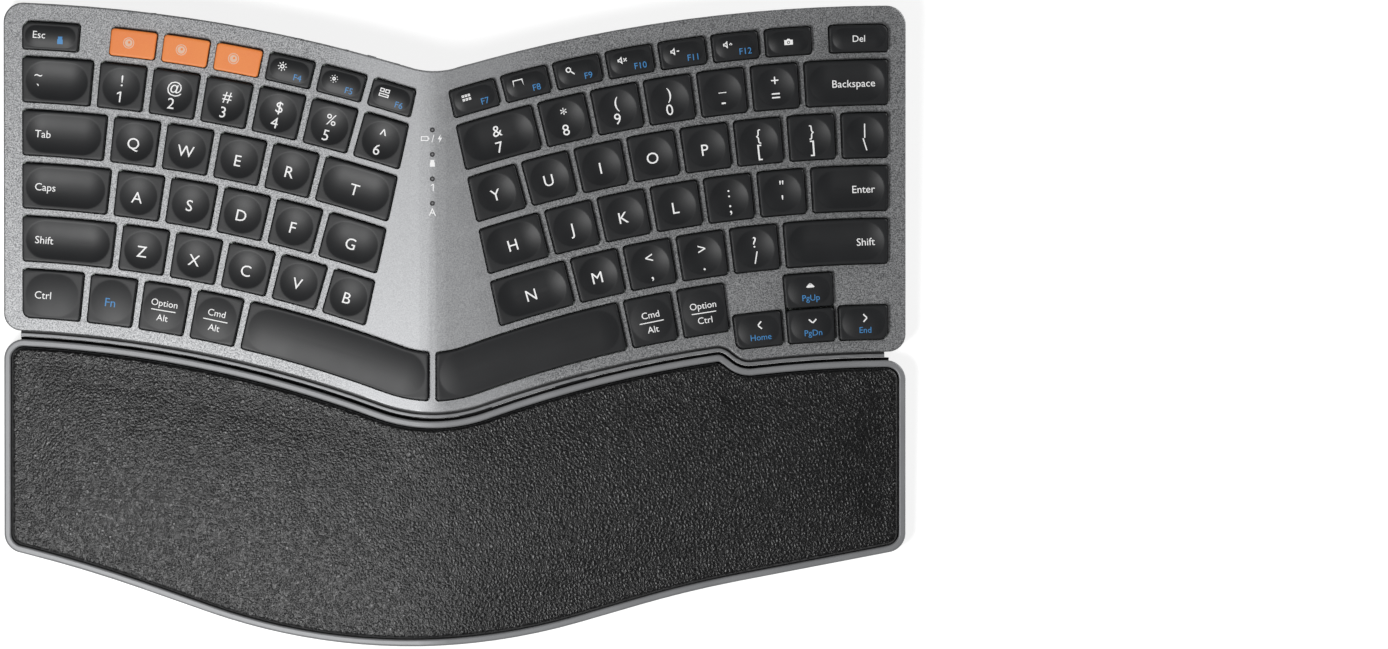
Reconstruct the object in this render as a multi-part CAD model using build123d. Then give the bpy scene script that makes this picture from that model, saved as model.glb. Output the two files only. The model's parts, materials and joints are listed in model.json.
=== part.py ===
"""Ergonomic split keyboard with a palm rest that pulls off its front edge.

Millimetres. +X is to the right, +Y to the rear and +Z up. The origin is the middle of the whole footprint, on the
surface that the rubber pads stand on. The two key fields are mirror twins in layout, not in size: each lies on its
own flat deck, the decks meet in a soft ridge over the split line and fall away from it to the sides, and every row
is an arc about one centre per half.
"""
import os
from dataclasses import dataclass
from math import asin, atan2, cos, degrees, hypot, radians, sin, sqrt, tan

from build123d import *

LEFT = -1
RIGHT = 1
REARWARD = 1
FORWARD = -1

# Plan of the board, taken from the split line
left_reach = 154.1
right_reach = 169.7
left_arc_reach = 169.2
right_arc_reach = 165.3
left_arc_y = -440.35
right_arc_y = -441.85
rear_corner_radius = 7.0
front_corner_radius = 6.3
valley_radius = 28.0
tip_radius = 54.0
notch_radius = 7.0
least_notch_radius = 1.0
notch_near = 104.2
notch_far = 111.5
notch_step = 6.6
split_x = (left_reach - right_reach) / 2

# Tilt of the two decks
tent_angle = 4.5
deck_slope = 2.0
ridge_height = 25.5
ridge_radius = 60.0

# Rows of keys: each edge is an arc, given by its radius
key_pitch = 19.1
row_pitch = 19.02
web = 1.95
well_depth = 16.8
front_row_rear = 460.85
front_row_depth = 18.0
function_gap = 2.15
function_depth = 10.45
rear_border = 6.8
front_border = 4.15
arrow_border = 3.7
arrow_depth = 13.0
arrow_pair_depth = 25.4
left_side_border = 6.65
right_side_border = 6.3
inner_foot = 23.8
inner_lean_share = 0.218
split_web = 0.97
well_corner = 1.3
big_corner = 3.0

# Where the outermost plain key of each row starts, in key pitches along the row from the arc centre's meridian
left_start_shares = {"function": 2.81, "number": 2.59, "upper": 2.845, "home": 2.915, "lower": 3.005, "front": 2.40}
right_start_shares = {"function": 1.545, "number": 1.79, "upper": 1.10, "home": 1.66, "lower": 2.17, "front": 3.155}
escape_end_share = 2.25
delete_end_share = 1.235
left_arrow_shares = (2.10, 3.02)
pair_arrow_shares = (1.12, 2.05)
right_arrow_end_share = 1.05

# Keycaps
cap_gap = 0.3
pair_gap = 0.4
cap_rise = 2.4
cap_skirt = 1.4
cap_wall = 1.1
cap_crown = 1.5
cap_chamfer = 0.45
key_travel = 1.8
travel_gap = 0.4
dish_depth = 0.7
dish_margin = 1.25
mound_height = 0.5
mound_margin = 1.1
plunger_radius = 2.0
plunger_length = 0.4

# Layers under the caps
plate_thickness = 1.8
plate_round = 0.6
level_tolerance = 0.05
membrane_thickness = 0.3
steel_thickness = 0.8
steel_border = 3.8
steel_edge_gap = 0.4
membrane_inset = 0.4
split_relief = 1.2
dome_height = 2.0
dome_wall = 0.5
link_thickness = 0.6
link_band = 1.1
link_length = 12.2
link_reach = 11.0
link_short_reach = 6.6
link_gap = 0.35
link_rise = 1.3
link_lift = 0.15
stake_radius = 1.3
stake_pin_radius = 0.8
stake_head = 0.6
pin_gap = 0.15
boss_gap = 0.5
dome_share = 0.27
dome_top_share = 0.55

# Case
pad_height = 1.2
floor_thickness = 2.0
case_wall = 2.4
case_round = 1.5
boss_radius = 2.0
boss_level = 6.4
screw_radius = 0.9
screw_bite = 2.6
screw_head_radius = 1.9
screw_head_height = 1.3
screw_hole_gap = 0.25
screw_sink = 0.3
trim_width = 1.8
trim_height = 3.2
trim_drop = 0.35
seam = 0.15
front_span = 80.0
trim_left_share = 0.96
trim_right_share = 0.955
slack = 200.0

# Palm rest
rest_gap = 1.1
rest_drop = 0.5
rest_corner_radius = 7.0
corner_clearance = 30.0
rim_width = 2.5
rim_height = 4.6
rim_round = 0.7
tray_inset = 0.5
tray_wall = 3.4
rest_post_radius = 2.5
rest_post_shares = ((0.15, 0.45), (0.15, 0.78), (0.48, 0.30), (0.48, 0.62), (0.80, 0.22), (0.80, 0.52))
carrier_thickness = 2.0
cushion_gap = 0.4
cushion_rise = 1.8
cushion_round = 3.6
leather_thickness = 1.2
front_bend_radius = 220.0
left_bend_radius = 500.0
right_bend_radius = 400.0
rest_depth = 115.5
left_corner_shares = (1.0, 0.697)
left_bend_shares = (0.805, 0.763)
front_bend_shares = (0.094, 1.093)
right_bend_shares = (0.542, 0.827)
right_corner_shares = (1.0, 0.699)
rest_slide_share = 0.5

# Electronics, all in the deep middle of the case
board_level = 12.0
board_thickness = 1.2
board_half_width = 19.0
board_length = 54.0
board_ear = 38.0
board_ear_depth = 13.0
board_ear_lift = 5.0
board_post_share = 0.82
chip_size = 8.0
chip_height = 0.9
chip_shares = ((-0.5, 0.15), (0.45, 0.10), (-0.45, 0.55))
light_radius = 0.8
light_collar = 0.5
light_collar_height = 1.0
light_gap = 0.1
light_first = 43.4
light_pitch = 8.76
light_count = 4
lamp_height = 0.6
light_proud = 0.05
port_width = 8.94
port_height = 3.26
port_depth = 7.35
port_wall = 0.3
port_gap = 0.3
port_recess = 0.35
tongue_width = 6.7
tongue_thickness = 0.7
switch_place = 150.0
switch_length = 9.0
switch_body = 3.6
switch_height = 3.2
slider_length = 3.2
slider_height = 1.8
slider_proud = 0.3
slider_travel = 2.0
slider_gap = 0.3
slider_flange = 0.8
slider_lever = 1.2
switch_slot = 1.2
battery_length = 62.0
battery_width = 34.0
battery_height = 4.6
battery_corner = 2.0
battery_gap = 0.3
battery_fence = 1.2
battery_share = 0.38
battery_turn = 12.0
magnet_length = 12.0
magnet_width = 3.0
magnet_height = 4.0
magnet_gap = 0.2
nose_gap = 0.3
magnet_band = 1.2
magnet_skin = 0.3
magnet_level = 5.0
magnet_shares = (0.10, 0.30)

# Feet and pads
foot_length = 17.0
foot_width = 26.0
foot_thickness = 3.0
foot_pin_radius = 1.2
foot_pin_length = 1.5
foot_pin_gap = 0.05
foot_gap = 0.4
foot_lift = 0.2
foot_round = 1.0
foot_finger = 3.0
foot_groove = 0.8
foot_groove_share = 0.8
foot_share = 0.86
foot_border = 20.5
recess_wall = 1.6
pad_radius = 4.0
pad_sink = 0.6
pad_seam = 0.1
case_pad_length = 26.0
rest_pad_length = 34.0
case_pad_shares = ((0.80, 0.60), (0.80, 0.10), (0.20, -0.05))
rest_pad_shares = ((0.85, 0.56), (0.30, 0.80))

half_height = slack / 2
deck_stretch = 1 / cos(radians(tent_angle))
well_level = cap_skirt + key_travel + travel_gap
steel_level = well_level + membrane_thickness
case_bottom = pad_height
case_floor = case_bottom + floor_thickness


@dataclass(frozen=True)
class Half:
    """One half of the board: how far its side, its wells and the centre of its arcs are from the split line."""

    side: int
    reach: float
    border: float
    arc_reach: float
    arc_y: float

    @property
    def plan_centre(self):
        return self.side * self.arc_reach + split_x, self.arc_y

    @property
    def deck_centre(self):
        return self.side * self.arc_reach * deck_stretch, self.arc_y

    @property
    def key_line(self):
        return (self.reach - self.border) * deck_stretch

    def deck_point(self, radius, angle):
        """Point of an arc on the deck, `angle` radians from the centre's meridian towards the split line."""
        x, y = self.deck_centre
        return x - self.side * radius * sin(angle), y + radius * cos(angle)

    def plan_point(self, radius, angle):
        x, y = self.plan_centre
        return x - self.side * radius * sin(angle), y + radius * cos(angle)


left = Half(LEFT, left_reach, left_side_border, left_arc_reach, left_arc_y)
right = Half(RIGHT, right_reach, right_side_border, right_arc_reach, right_arc_y)
halves = (left, right)


@dataclass(frozen=True)
class RadialEdge:
    """Side of a key that points at the centre of the arcs."""

    place: float
    row_radius: float

    def meet(self, half, radius, shift):
        """Where the side crosses an arc, after a shift towards the board's outside."""
        return half.deck_point(radius, self.place / self.row_radius - shift / radius)


@dataclass(frozen=True)
class StraightEdge:
    """Straight side of a key: `foot` from the split line, leaning towards it by `lean` for each unit to the rear."""

    foot: float
    lean: float

    def meet(self, half, radius, shift):
        """Where the side crosses an arc, after a shift towards the board's outside."""
        centre_x, centre_y = half.deck_centre
        start = self.foot + shift * hypot(1, self.lean) - half.side * centre_x
        middle = start * self.lean + centre_y
        spread = 1 + self.lean ** 2
        y = (middle + sqrt(middle ** 2 - spread * (start ** 2 + centre_y ** 2 - radius ** 2))) / spread
        return half.side * (self.foot + shift * hypot(1, self.lean) - self.lean * y), y


@dataclass(frozen=True)
class Key:
    """One key: the well it sits in, how its top is shaped and the node it belongs to."""

    name: str
    node: str
    half: Half
    rear: float
    front: float
    outer: object
    inner: object
    crown: str
    big: int = -1

    @property
    def middle_radius(self):
        return (self.rear + self.front) / 2

    def corners(self, inset=0):
        """Corners from outer rear through inner rear and inner front to outer front, drawn in by `inset`."""
        rear = self.rear - inset
        front = self.front + inset
        return (self.outer.meet(self.half, rear, -inset), self.inner.meet(self.half, rear, inset),
                self.inner.meet(self.half, front, inset), self.outer.meet(self.half, front, -inset))

    def middle(self):
        """Middle of the key on its deck and the angle that its row has turned by there."""
        outer_x, outer_y = self.outer.meet(self.half, self.middle_radius, 0)
        inner_x, inner_y = self.inner.meet(self.half, self.middle_radius, 0)
        centre_x, centre_y = self.half.deck_centre
        angles = [asin(self.half.side * (centre_x - x) / self.middle_radius) for x in (outer_x, inner_x)]
        angle = sum(angles) / 2
        x, y = self.half.deck_point(self.middle_radius, angle)
        return x, y, self.half.side * degrees(angle)

    def length(self):
        outer = self.outer.meet(self.half, self.middle_radius, 0)
        inner = self.inner.meet(self.half, self.middle_radius, 0)
        return hypot(outer[0] - inner[0], outer[1] - inner[1])


def row_radii():
    """Rear and front radius of each row, from the front row to the function row."""
    radii = {"front": (front_row_rear, front_row_rear - front_row_depth)}
    for count, name in enumerate(("lower", "home", "upper", "number"), start=1):
        rear = front_row_rear + count * row_pitch
        radii[name] = (rear, rear - well_depth)
    function_front = radii["number"][0] + function_gap
    radii["function"] = (function_front + function_depth, function_front)
    return radii


rows = row_radii()
rear_radius = rows["function"][0] + rear_border
front_radius = rows["front"][1] - front_border
notch_front_radius = front_radius - notch_step
steel_plate_rear = rows["function"][0] + steel_border

# Names from the outside of each row inwards: the key that reaches the side, the plain keys, the one at the split
left_names = {"function": ("", ("channel_1", "channel_2", "channel_3", "f4", "f5"), "f6"),
              "number": ("grave", ("1", "2", "3", "4", "5"), "6"),
              "upper": ("tab", ("q", "w", "e", "r"), "t"),
              "home": ("caps_lock", ("a", "s", "d", "f"), "g"),
              "lower": ("left_shift", ("z", "x", "c", "v"), "b"),
              "front": ("left_control", ("function_lock", "left_option", "left_command"), "")}
right_names = {"function": ("", ("capture", "f12", "f11", "f10", "f9", "f8"), "f7"),
               "number": ("backspace", ("equals", "minus", "0", "9", "8"), "7"),
               "upper": ("backslash", ("right_bracket", "left_bracket", "p", "o", "i", "u"), "y"),
               "home": ("enter", ("quote", "semicolon", "l", "k", "j"), "h"),
               "lower": ("right_shift", ("slash", "period", "comma", "m"), "n"),
               "front": ("", ("right_option", "right_command"), "")}
punctuation = ("backslash", "right_bracket", "left_bracket", "quote", "semicolon", "slash", "period", "comma")


def node_of(name, row, half):
    """Node of a key: letters have one each, and the others share one with the keys around them."""
    side = "left" if half is left else "right"
    if row == "function":
        return f"function_keys_{side}"
    if row == "number":
        return f"number_keys_{side}"
    if name in punctuation:
        return "punctuation_keys"
    if len(name) == 1:
        return f"key_{name}"
    return f"modifier_keys_{side}"


def crown_of(name, row):
    if name.startswith("channel"):
        return "flat"
    return "mound" if row in ("function", "front") else "dish"


def row_keys(half, row, names, start):
    """Keys of one row, from the side of the board to the split line."""
    rear, front = rows[row]
    middle = (rear + front) / 2
    outer_name, plain_names, inner_name = names
    side_edge = StraightEdge(half.key_line, 0)
    split_edge = StraightEdge(inner_foot, inner_lean_share)

    def key(name, outer, inner):
        big = 3 if name == "left_control" else -1
        return Key(name, node_of(name, row, half), half, rear, front, outer, inner, crown_of(name, row), big)

    keys = []
    if outer_name:
        keys.append(key(outer_name, side_edge, RadialEdge(start - web, middle)))
    place = start
    for name in plain_names:
        keys.append(key(name, RadialEdge(place, middle), RadialEdge(place + key_pitch - web, middle)))
        place += key_pitch
    if inner_name:
        keys.append(key(inner_name, RadialEdge(place, middle), split_edge))
    if row == "front":
        name = "space_left" if half is left else "space_right"
        edge = StraightEdge(split_web * deck_stretch, 0)
        keys.append(Key(name, f"key_{name}", half, rear, front, RadialEdge(place, middle), edge, "bar"))
    return keys


def corner_keys():
    """Escape and delete, which end the function row, and the arrow cluster."""
    rear, front = rows["function"]
    middle = (rear + front) / 2
    edges = {half: StraightEdge(half.key_line, 0) for half in halves}
    escape_end = RadialEdge(escape_end_share * key_pitch, middle)
    delete_end = RadialEdge(delete_end_share * key_pitch, middle)
    keys = [Key("escape", "function_keys_left", left, rear, front, edges[left], escape_end, "mound", 0),
            Key("delete", "function_keys_right", right, rear, front, edges[right], delete_end, "mound", 0)]
    low = notch_front_radius + arrow_border
    high = low + arrow_depth
    middle = (low + high) / 2
    sides = {"arrow_left": [RadialEdge(share * key_pitch, middle) for share in left_arrow_shares],
             "arrow_right": [edges[right], RadialEdge(right_arrow_end_share * key_pitch, middle)]}
    corners = {"arrow_left": 2, "arrow_right": 3}
    for name, (outer, inner) in sides.items():
        keys.append(Key(name, "arrow_keys", right, high, low, outer, inner, "mound", corners[name]))
    return keys


def arrow_pair():
    """The well that the up and down arrows share, as one key outline."""
    low = notch_front_radius + arrow_border
    high = low + arrow_pair_depth
    middle = (low + high) / 2
    outer, inner = (RadialEdge(share * key_pitch, middle) for share in pair_arrow_shares)
    return Key("arrow_pair", "arrow_keys", right, high, low, outer, inner, "mound")


def split_pair(pair):
    """Up and down arrow caps: the two halves of the pair's well, a hair apart."""
    middle = (pair.rear + pair.front) / 2
    edge = cap_gap - pair_gap / 2
    up = Key("arrow_up", "arrow_keys", right, pair.rear, middle - edge, pair.outer, pair.inner, "mound")
    down = Key("arrow_down", "arrow_keys", right, middle + edge, pair.front, pair.outer, pair.inner, "mound")
    return [up, down]


def all_keys():
    """Every key, and the outlines of the wells that they sit in."""
    single = []
    for half, names, starts in ((left, left_names, left_start_shares), (right, right_names, right_start_shares)):
        for row, row_names in names.items():
            single += row_keys(half, row, row_names, starts[row] * key_pitch)
    single += corner_keys()
    pair = arrow_pair()
    return single + split_pair(pair), single + [pair]


def arc_between(centre, start, end):
    """Arc about a centre from one point to another, the short way."""
    radius = hypot(start[0] - centre[0], start[1] - centre[1])
    turns = [atan2(point[1] - centre[1], point[0] - centre[0]) for point in (start, end)]
    angle = sum(turns) / 2
    middle = (centre[0] + radius * cos(angle), centre[1] + radius * sin(angle))
    return ThreePointArc(start, middle, end)


def round_corners(face, points, radius):
    """Round the corners of a flat face that lie nearest to the given points."""
    corners = [face.vertices().sort_by_distance(Vector(*point))[0] for point in points]
    return fillet(corners, radius)


def tip_centre(half):
    """Centre of the rounding at the split line that the front edge and both edges of the space bars share."""
    centre_x, centre_y = half.deck_centre
    return 0, centre_y + sqrt((front_radius + tip_radius) ** 2 - centre_x ** 2)


def bar_face(key, inset):
    """Outline of a space bar: the row's arc, then the rounding that it shares with the front edge."""
    half = key.half
    centre = half.deck_centre
    tip = tip_centre(half)
    reach = hypot(tip[0] - centre[0], tip[1] - centre[1])
    corners = key.corners(inset)
    inner_x = half.side * (key.inner.foot + inset)
    edges = []
    ends = []
    for radius, outer in ((key.rear - inset, corners[0]), (key.front + inset, corners[3])):
        tangent = tuple(centre[axis] + (tip[axis] - centre[axis]) * radius / reach for axis in (0, 1))
        tip_rounding = reach - radius
        inner = (inner_x, tip[1] - sqrt(tip_rounding ** 2 - inner_x ** 2))
        edges += [arc_between(centre, outer, tangent), arc_between(tip, tangent, inner)]
        ends.append(inner)
    edges += [Line(ends[0], ends[1]), Line(corners[3], corners[0])]
    face = make_face(edges)
    return round_corners(face, (corners[0], ends[0], ends[1], corners[3]), well_corner - inset / 2)


def key_face(key, inset=0):
    """Outline of a key's well on the deck, drawn in by `inset`, or let out where that is negative."""
    if key.crown == "bar":
        return bar_face(key, inset)
    points = key.corners(inset)
    centre = key.half.deck_centre
    edges = [arc_between(centre, points[0], points[1]), Line(points[1], points[2]),
             arc_between(centre, points[2], points[3]), Line(points[3], points[0])]
    face = make_face(edges)
    small = [point for count, point in enumerate(points) if count != key.big]
    face = round_corners(face, small, well_corner - inset / 2)
    if key.big >= 0:
        face = round_corners(face, [points[key.big]], big_corner - inset / 2)
    return face


def on_deck(half, depth=0):
    """Place on one half's deck, `depth` below its surface: X to the right, Y to the rear and Z out of the deck."""
    ridge = Location((split_x, 0, ridge_height), (deck_slope, 0, 0))
    return ridge * Location((0, 0, 0), (0, half.side * tent_angle, 0)) * Location((0, 0, -depth))


def below_deck(depth):
    """Block that fills everything under the decks, lowered by `depth`: two slopes with the ridge rounded off."""
    apex = -depth / cos(radians(tent_angle))
    drop = slack * tan(radians(tent_angle))
    outline = Polyline((-slack, apex - drop), (0, apex), (slack, apex - drop), (slack, -slack), (-slack, -slack),
                       close=True)
    face = fillet(make_face(outline).vertices().sort_by_distance(Vector(0, apex))[0], ridge_radius - depth)
    block = extrude(Plane.XZ * face, slack, both=True)
    return Location((split_x, 0, ridge_height), (deck_slope, 0, 0)) * block


def between(low, high):
    """Bent sheet that follows the decks, from `low` to `high` below their surface."""
    return below_deck(low) - below_deck(high)


def column(face, bottom=-half_height, top=half_height):
    """Upright prism over a flat outline."""
    return extrude(Location((0, 0, bottom)) * face, top - bottom)


def solids_of(shapes):
    """All the solids of several shapes in one compound."""
    return Compound(children=[solid for shape in shapes for solid in shape.solids()])


def cross_point(first, second, radius):
    """Front or rear corner where an arc of the left half meets the same arc of the right half."""
    (ax, ay), (bx, by) = first, second
    gap = hypot(bx - ax, by - ay)
    rise = sqrt(radius ** 2 - gap ** 2 / 4)
    return (ax + bx) / 2 - (by - ay) / gap * rise, (ay + by) / 2 + (bx - ax) / gap * rise


def arc_y(half, radius, x):
    """Height in plan of an arc of one half at a given x."""
    centre_x, centre_y = half.plan_centre
    return centre_y + sqrt(radius ** 2 - (x - centre_x) ** 2)


def notch_corners(growth):
    """Both ends of the slanted step in the front edge, on arcs and a line moved out by `growth`."""
    near = (split_x + notch_near, arc_y(right, front_radius, split_x + notch_near))
    far = (split_x + notch_far, arc_y(right, notch_front_radius, split_x + notch_far))
    length = hypot(far[0] - near[0], far[1] - near[1])
    along = ((far[0] - near[0]) / length, (far[1] - near[1]) / length)
    start = (near[0] + along[1] * growth, near[1] - along[0] * growth)
    centre = right.plan_centre
    offset_x, offset_y = start[0] - centre[0], start[1] - centre[1]
    middle = offset_x * along[0] + offset_y * along[1]
    corners = []
    for radius in (front_radius - growth, notch_front_radius - growth):
        reach = -middle - sqrt(middle ** 2 - (offset_x ** 2 + offset_y ** 2 - radius ** 2))
        corners.append((start[0] + reach * along[0], start[1] + reach * along[1]))
    return corners


def case_outline(growth=0, widening=0, least=least_notch_radius):
    """Plan of the board: rear arcs that meet in a valley, front arcs that meet in a tip, and the notched corner.

    Growth moves the whole outline outwards. Widening moves only the sides, so that the front edge can be followed
    past its rounded ends. The hollow corner of the notch is never rounded by less than the last value.
    """
    side_x = {half: split_x + half.side * (half.reach + growth + widening) for half in halves}
    rear = {half: (side_x[half], arc_y(half, rear_radius + growth, side_x[half])) for half in halves}
    valley = cross_point(left.plan_centre, right.plan_centre, rear_radius + growth)
    tip = cross_point(left.plan_centre, right.plan_centre, front_radius - growth)
    front_left = (side_x[left], arc_y(left, front_radius - growth, side_x[left]))
    front_right = (side_x[right], arc_y(right, notch_front_radius - growth, side_x[right]))
    near, far = notch_corners(growth)
    edges = [arc_between(left.plan_centre, rear[left], valley), arc_between(right.plan_centre, valley, rear[right]),
             Line(rear[right], front_right), arc_between(right.plan_centre, front_right, far), Line(far, near),
             arc_between(right.plan_centre, near, tip), arc_between(left.plan_centre, tip, front_left),
             Line(front_left, rear[left])]
    face = make_face(edges)
    face = round_corners(face, rear.values(), rear_corner_radius + growth)
    face = round_corners(face, (front_left, front_right), front_corner_radius + growth)
    face = round_corners(face, [far], notch_radius + growth)
    face = round_corners(face, [near], max(notch_radius - growth, least))
    face = round_corners(face, [valley], valley_radius - growth)
    return round_corners(face, [tip], tip_radius + growth)


def moved_out(points, distance):
    """Chain of points whose lines are all moved out by a distance; the inside is to the left of the chain."""
    lines = []
    for start, end in zip(points, points[1:]):
        length = hypot(end[0] - start[0], end[1] - start[1])
        along = ((end[0] - start[0]) / length, (end[1] - start[1]) / length)
        lines.append(((start[0] + along[1] * distance, start[1] - along[0] * distance), along))
    moved = [lines[0][0]]
    for (first, along), (second, other) in zip(lines, lines[1:]):
        cross = along[0] * other[1] - along[1] * other[0]
        reach = ((second[0] - first[0]) * other[1] - (second[1] - first[1]) * other[0]) / cross
        moved.append((first[0] + reach * along[0], first[1] + reach * along[1]))
    return moved + [(lines[-1][0][0], points[-1][1])]


def rest_outline(growth=0, least=least_notch_radius):
    """Plan of the palm rest: the board's front edge with a gap, straight sides and a front of three soft bends."""
    def place(half, shares):
        return split_x + half.side * half.reach * shares[0], -rest_depth * shares[1]

    ends = [place(left, left_corner_shares), place(right, right_corner_shares)]
    points = [(ends[0][0], 0), ends[0], place(left, left_bend_shares), place(left, front_bend_shares),
              place(right, right_bend_shares), ends[1], (ends[1][0], 0)]
    points = moved_out(points, growth)
    face = make_face(Polyline(*points, close=True))
    radii = (left_bend_radius - growth, front_bend_radius + growth, right_bend_radius - growth)
    for bend, radius in zip(points[2:5], radii):
        face = round_corners(face, [bend], radius)
    face = round_corners(face, (points[1], points[-2]), rest_corner_radius + growth)
    face -= case_outline(seam + trim_width + rest_gap - growth, corner_clearance, least)
    face = face.faces().sort_by(SortBy.AREA)[-1]
    return round_corners(face, (points[0], points[-1]), rest_corner_radius + growth)


def valley_bottom():
    """Where the split line leaves the board at the rear, in the rounded valley."""
    centre_x, centre_y = left.plan_centre
    middle_y = centre_y + sqrt((rear_radius + valley_radius) ** 2 - (split_x - centre_x) ** 2)
    return middle_y - valley_radius


keys, wells = all_keys()
board_face = case_outline()
rest_face = rest_outline()
valley_y = valley_bottom()
board_rear = valley_y - case_wall - steel_edge_gap
board_front = board_rear - board_length


def stake_places(half):
    """Middles on the deck of the stakes that hold the steel plate, all in the borders beside the keys."""
    rear = (rows["function"][0] + steel_plate_rear) / 2
    side_x = half.key_line + steel_border / 2
    stakes = [half.deck_point(rear, share * (half.key_line / rear)) for share in rear_stake_shares]
    for share in side_stake_shares:
        stakes.append((half.side * side_x, share * rear_stake_span))
    for share in inner_stake_shares:
        y = share * rear_stake_span
        stakes.append((half.side * (inner_foot - steel_border / 2 - inner_lean_share * y), y))
    return stakes


rear_stake_span = rows["function"][1] + left_arc_y
rear_stake_shares = (0.25, 0.55, 0.85)
side_stake_shares = (0.29, 0.60, 0.88)
inner_stake_shares = (0.16, 0.42, 0.66)


def boss_places():
    """Middles in plan of the case screws: in the middle of the board and in the gaps between the outer keys."""
    low = notch_front_radius + arrow_border + arrow_depth
    rear = sum(rows["function"]) / 2
    open_radius = (low + front_row_rear) / 2
    escape = (escape_end_share + left_start_shares["function"]) * key_pitch / 2
    delete = (delete_end_share + right_start_shares["function"]) * key_pitch / 2
    arrow_gap = (left_arrow_shares[0] + left_arrow_shares[1]) * key_pitch / 2
    places = [left.plan_point(rear, escape / rear), right.plan_point(rear, delete / rear),
              right.plan_point(open_radius, arrow_gap / open_radius),
              right.plan_point(open_radius, right_arrow_end_share * key_pitch / 2 / open_radius),
              (split_x - middle_boss_reach, middle_boss_y), (split_x + middle_boss_reach, middle_boss_y)]
    side_x = split_x - (left.key_line / deck_stretch + boss_side_gap + boss_radius)
    places += [(side_x, share * rear_stake_span) for share in side_boss_shares]
    return places


middle_boss_reach = 12.0
middle_boss_y = 18.0
boss_side_gap = 0.1
side_boss_shares = (0.14, 0.45, 0.75)


def link_size(key):
    """Reach of a key's scissor links from front to rear: short under the half-height keys."""
    return link_short_reach if key.rear - key.front < well_depth - link_band else link_reach


def key_places(key):
    """Places of the domes and links under a key: one in its middle, or two under a space bar."""
    if key.crown != "bar":
        return [key.middle()]
    half = key.half
    angles = [key.outer.place / key.middle_radius, asin(left.arc_reach / (front_radius + tip_radius))]
    span = angles[1] - angles[0]
    places = []
    for share in bar_support_shares:
        angle = angles[0] + share * span
        x, y = half.deck_point(key.middle_radius, angle)
        places.append((x, y, half.side * degrees(angle)))
    return places


bar_support_shares = (0.25, 0.75)


def capsule(radius, straight):
    """Ball, or two balls and the cylinder that joins them along X."""
    if straight <= 0:
        return Sphere(radius)
    ends = [Location((place, 0, 0)) * Sphere(radius) for place in (-straight / 2, straight / 2)]
    return Cylinder(radius, straight, rotation=(0, 90, 0)) + ends


def bowl_radius(width, height):
    return (width ** 2 / 4 + height ** 2) / (2 * height)


def bar_crown(key):
    """Long low mound on a space bar: a segment turned about the row's centre, with a round end at each side."""
    half = key.half
    width = key.rear - key.front - 2 * (cap_gap + mound_margin)
    radius = key.middle_radius
    first = key.outer.place / radius + (cap_gap + mound_margin + width / 2) / radius
    split_reach = (width / 2 + split_web + cap_gap + mound_margin) * deck_stretch
    last = asin((abs(half.deck_centre[0]) - split_reach) / radius)
    segment = make_face([ThreePointArc((-width / 2, 0), (0, mound_height), (width / 2, 0)),
                         Line((width / 2, 0), (-width / 2, 0))])
    turned = revolve(Location((radius, 0, 0)) * (Plane.XZ * segment), Axis.Z, degrees(last - first))
    start = 90 - degrees(last) if half is left else 90 + degrees(first)
    crown = Location((*half.deck_centre, 0), (0, 0, start)) * turned
    ball = bowl_radius(width, mound_height)
    cap = Location((0, 0, mound_height - ball)) * Sphere(ball)
    cap &= column(Circle(width), 0, mound_height)
    ends = [Location((*half.deck_point(radius, angle), 0)) * cap for angle in (first, last)]
    return crown + ends


def keycap(key):
    """Keycap with a chamfered rim, hollow below, and a dish, a mound or a long crown on top."""
    face = key_face(key, cap_gap)
    body = extrude(Location((0, 0, -cap_skirt)) * face, cap_skirt + cap_rise)
    body = chamfer(body.edges().group_by(Axis.Z)[-1], cap_chamfer)
    hollow = extrude(Location((0, 0, -cap_skirt)) * key_face(key, cap_gap + cap_wall),
                     cap_skirt + cap_rise - cap_crown)
    body -= hollow
    for x, y, turn in key_places(key):
        under = Location((x, y, cap_rise - cap_crown - plunger_length)) * column(Circle(plunger_radius), 0, cap_crown)
        body += under
    top = Location((0, 0, cap_rise))
    if key.crown == "bar":
        body += top * bar_crown(key)
    elif key.crown != "flat":
        x, y, turn = key.middle()
        spot = top * Location((x, y, 0), (0, 0, turn))
        margin = dish_margin if key.crown == "dish" else mound_margin
        width = key.rear - key.front - 2 * (cap_gap + margin)
        straight = key.length() - 2 * (cap_gap + margin) - width
        straight = straight if straight > key_pitch / 10 else 0
        if key.crown == "dish":
            ball = bowl_radius(width, dish_depth)
            body -= spot * Location((0, 0, ball - dish_depth)) * capsule(ball, straight)
        else:
            ball = bowl_radius(width, mound_height)
            mound = Location((0, 0, mound_height - ball)) * capsule(ball, straight)
            mound &= Box(straight + width, width, mound_height, align=(Align.CENTER, Align.CENTER, Align.MIN))
            body += spot * mound
    return on_deck(key.half) * body


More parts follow.
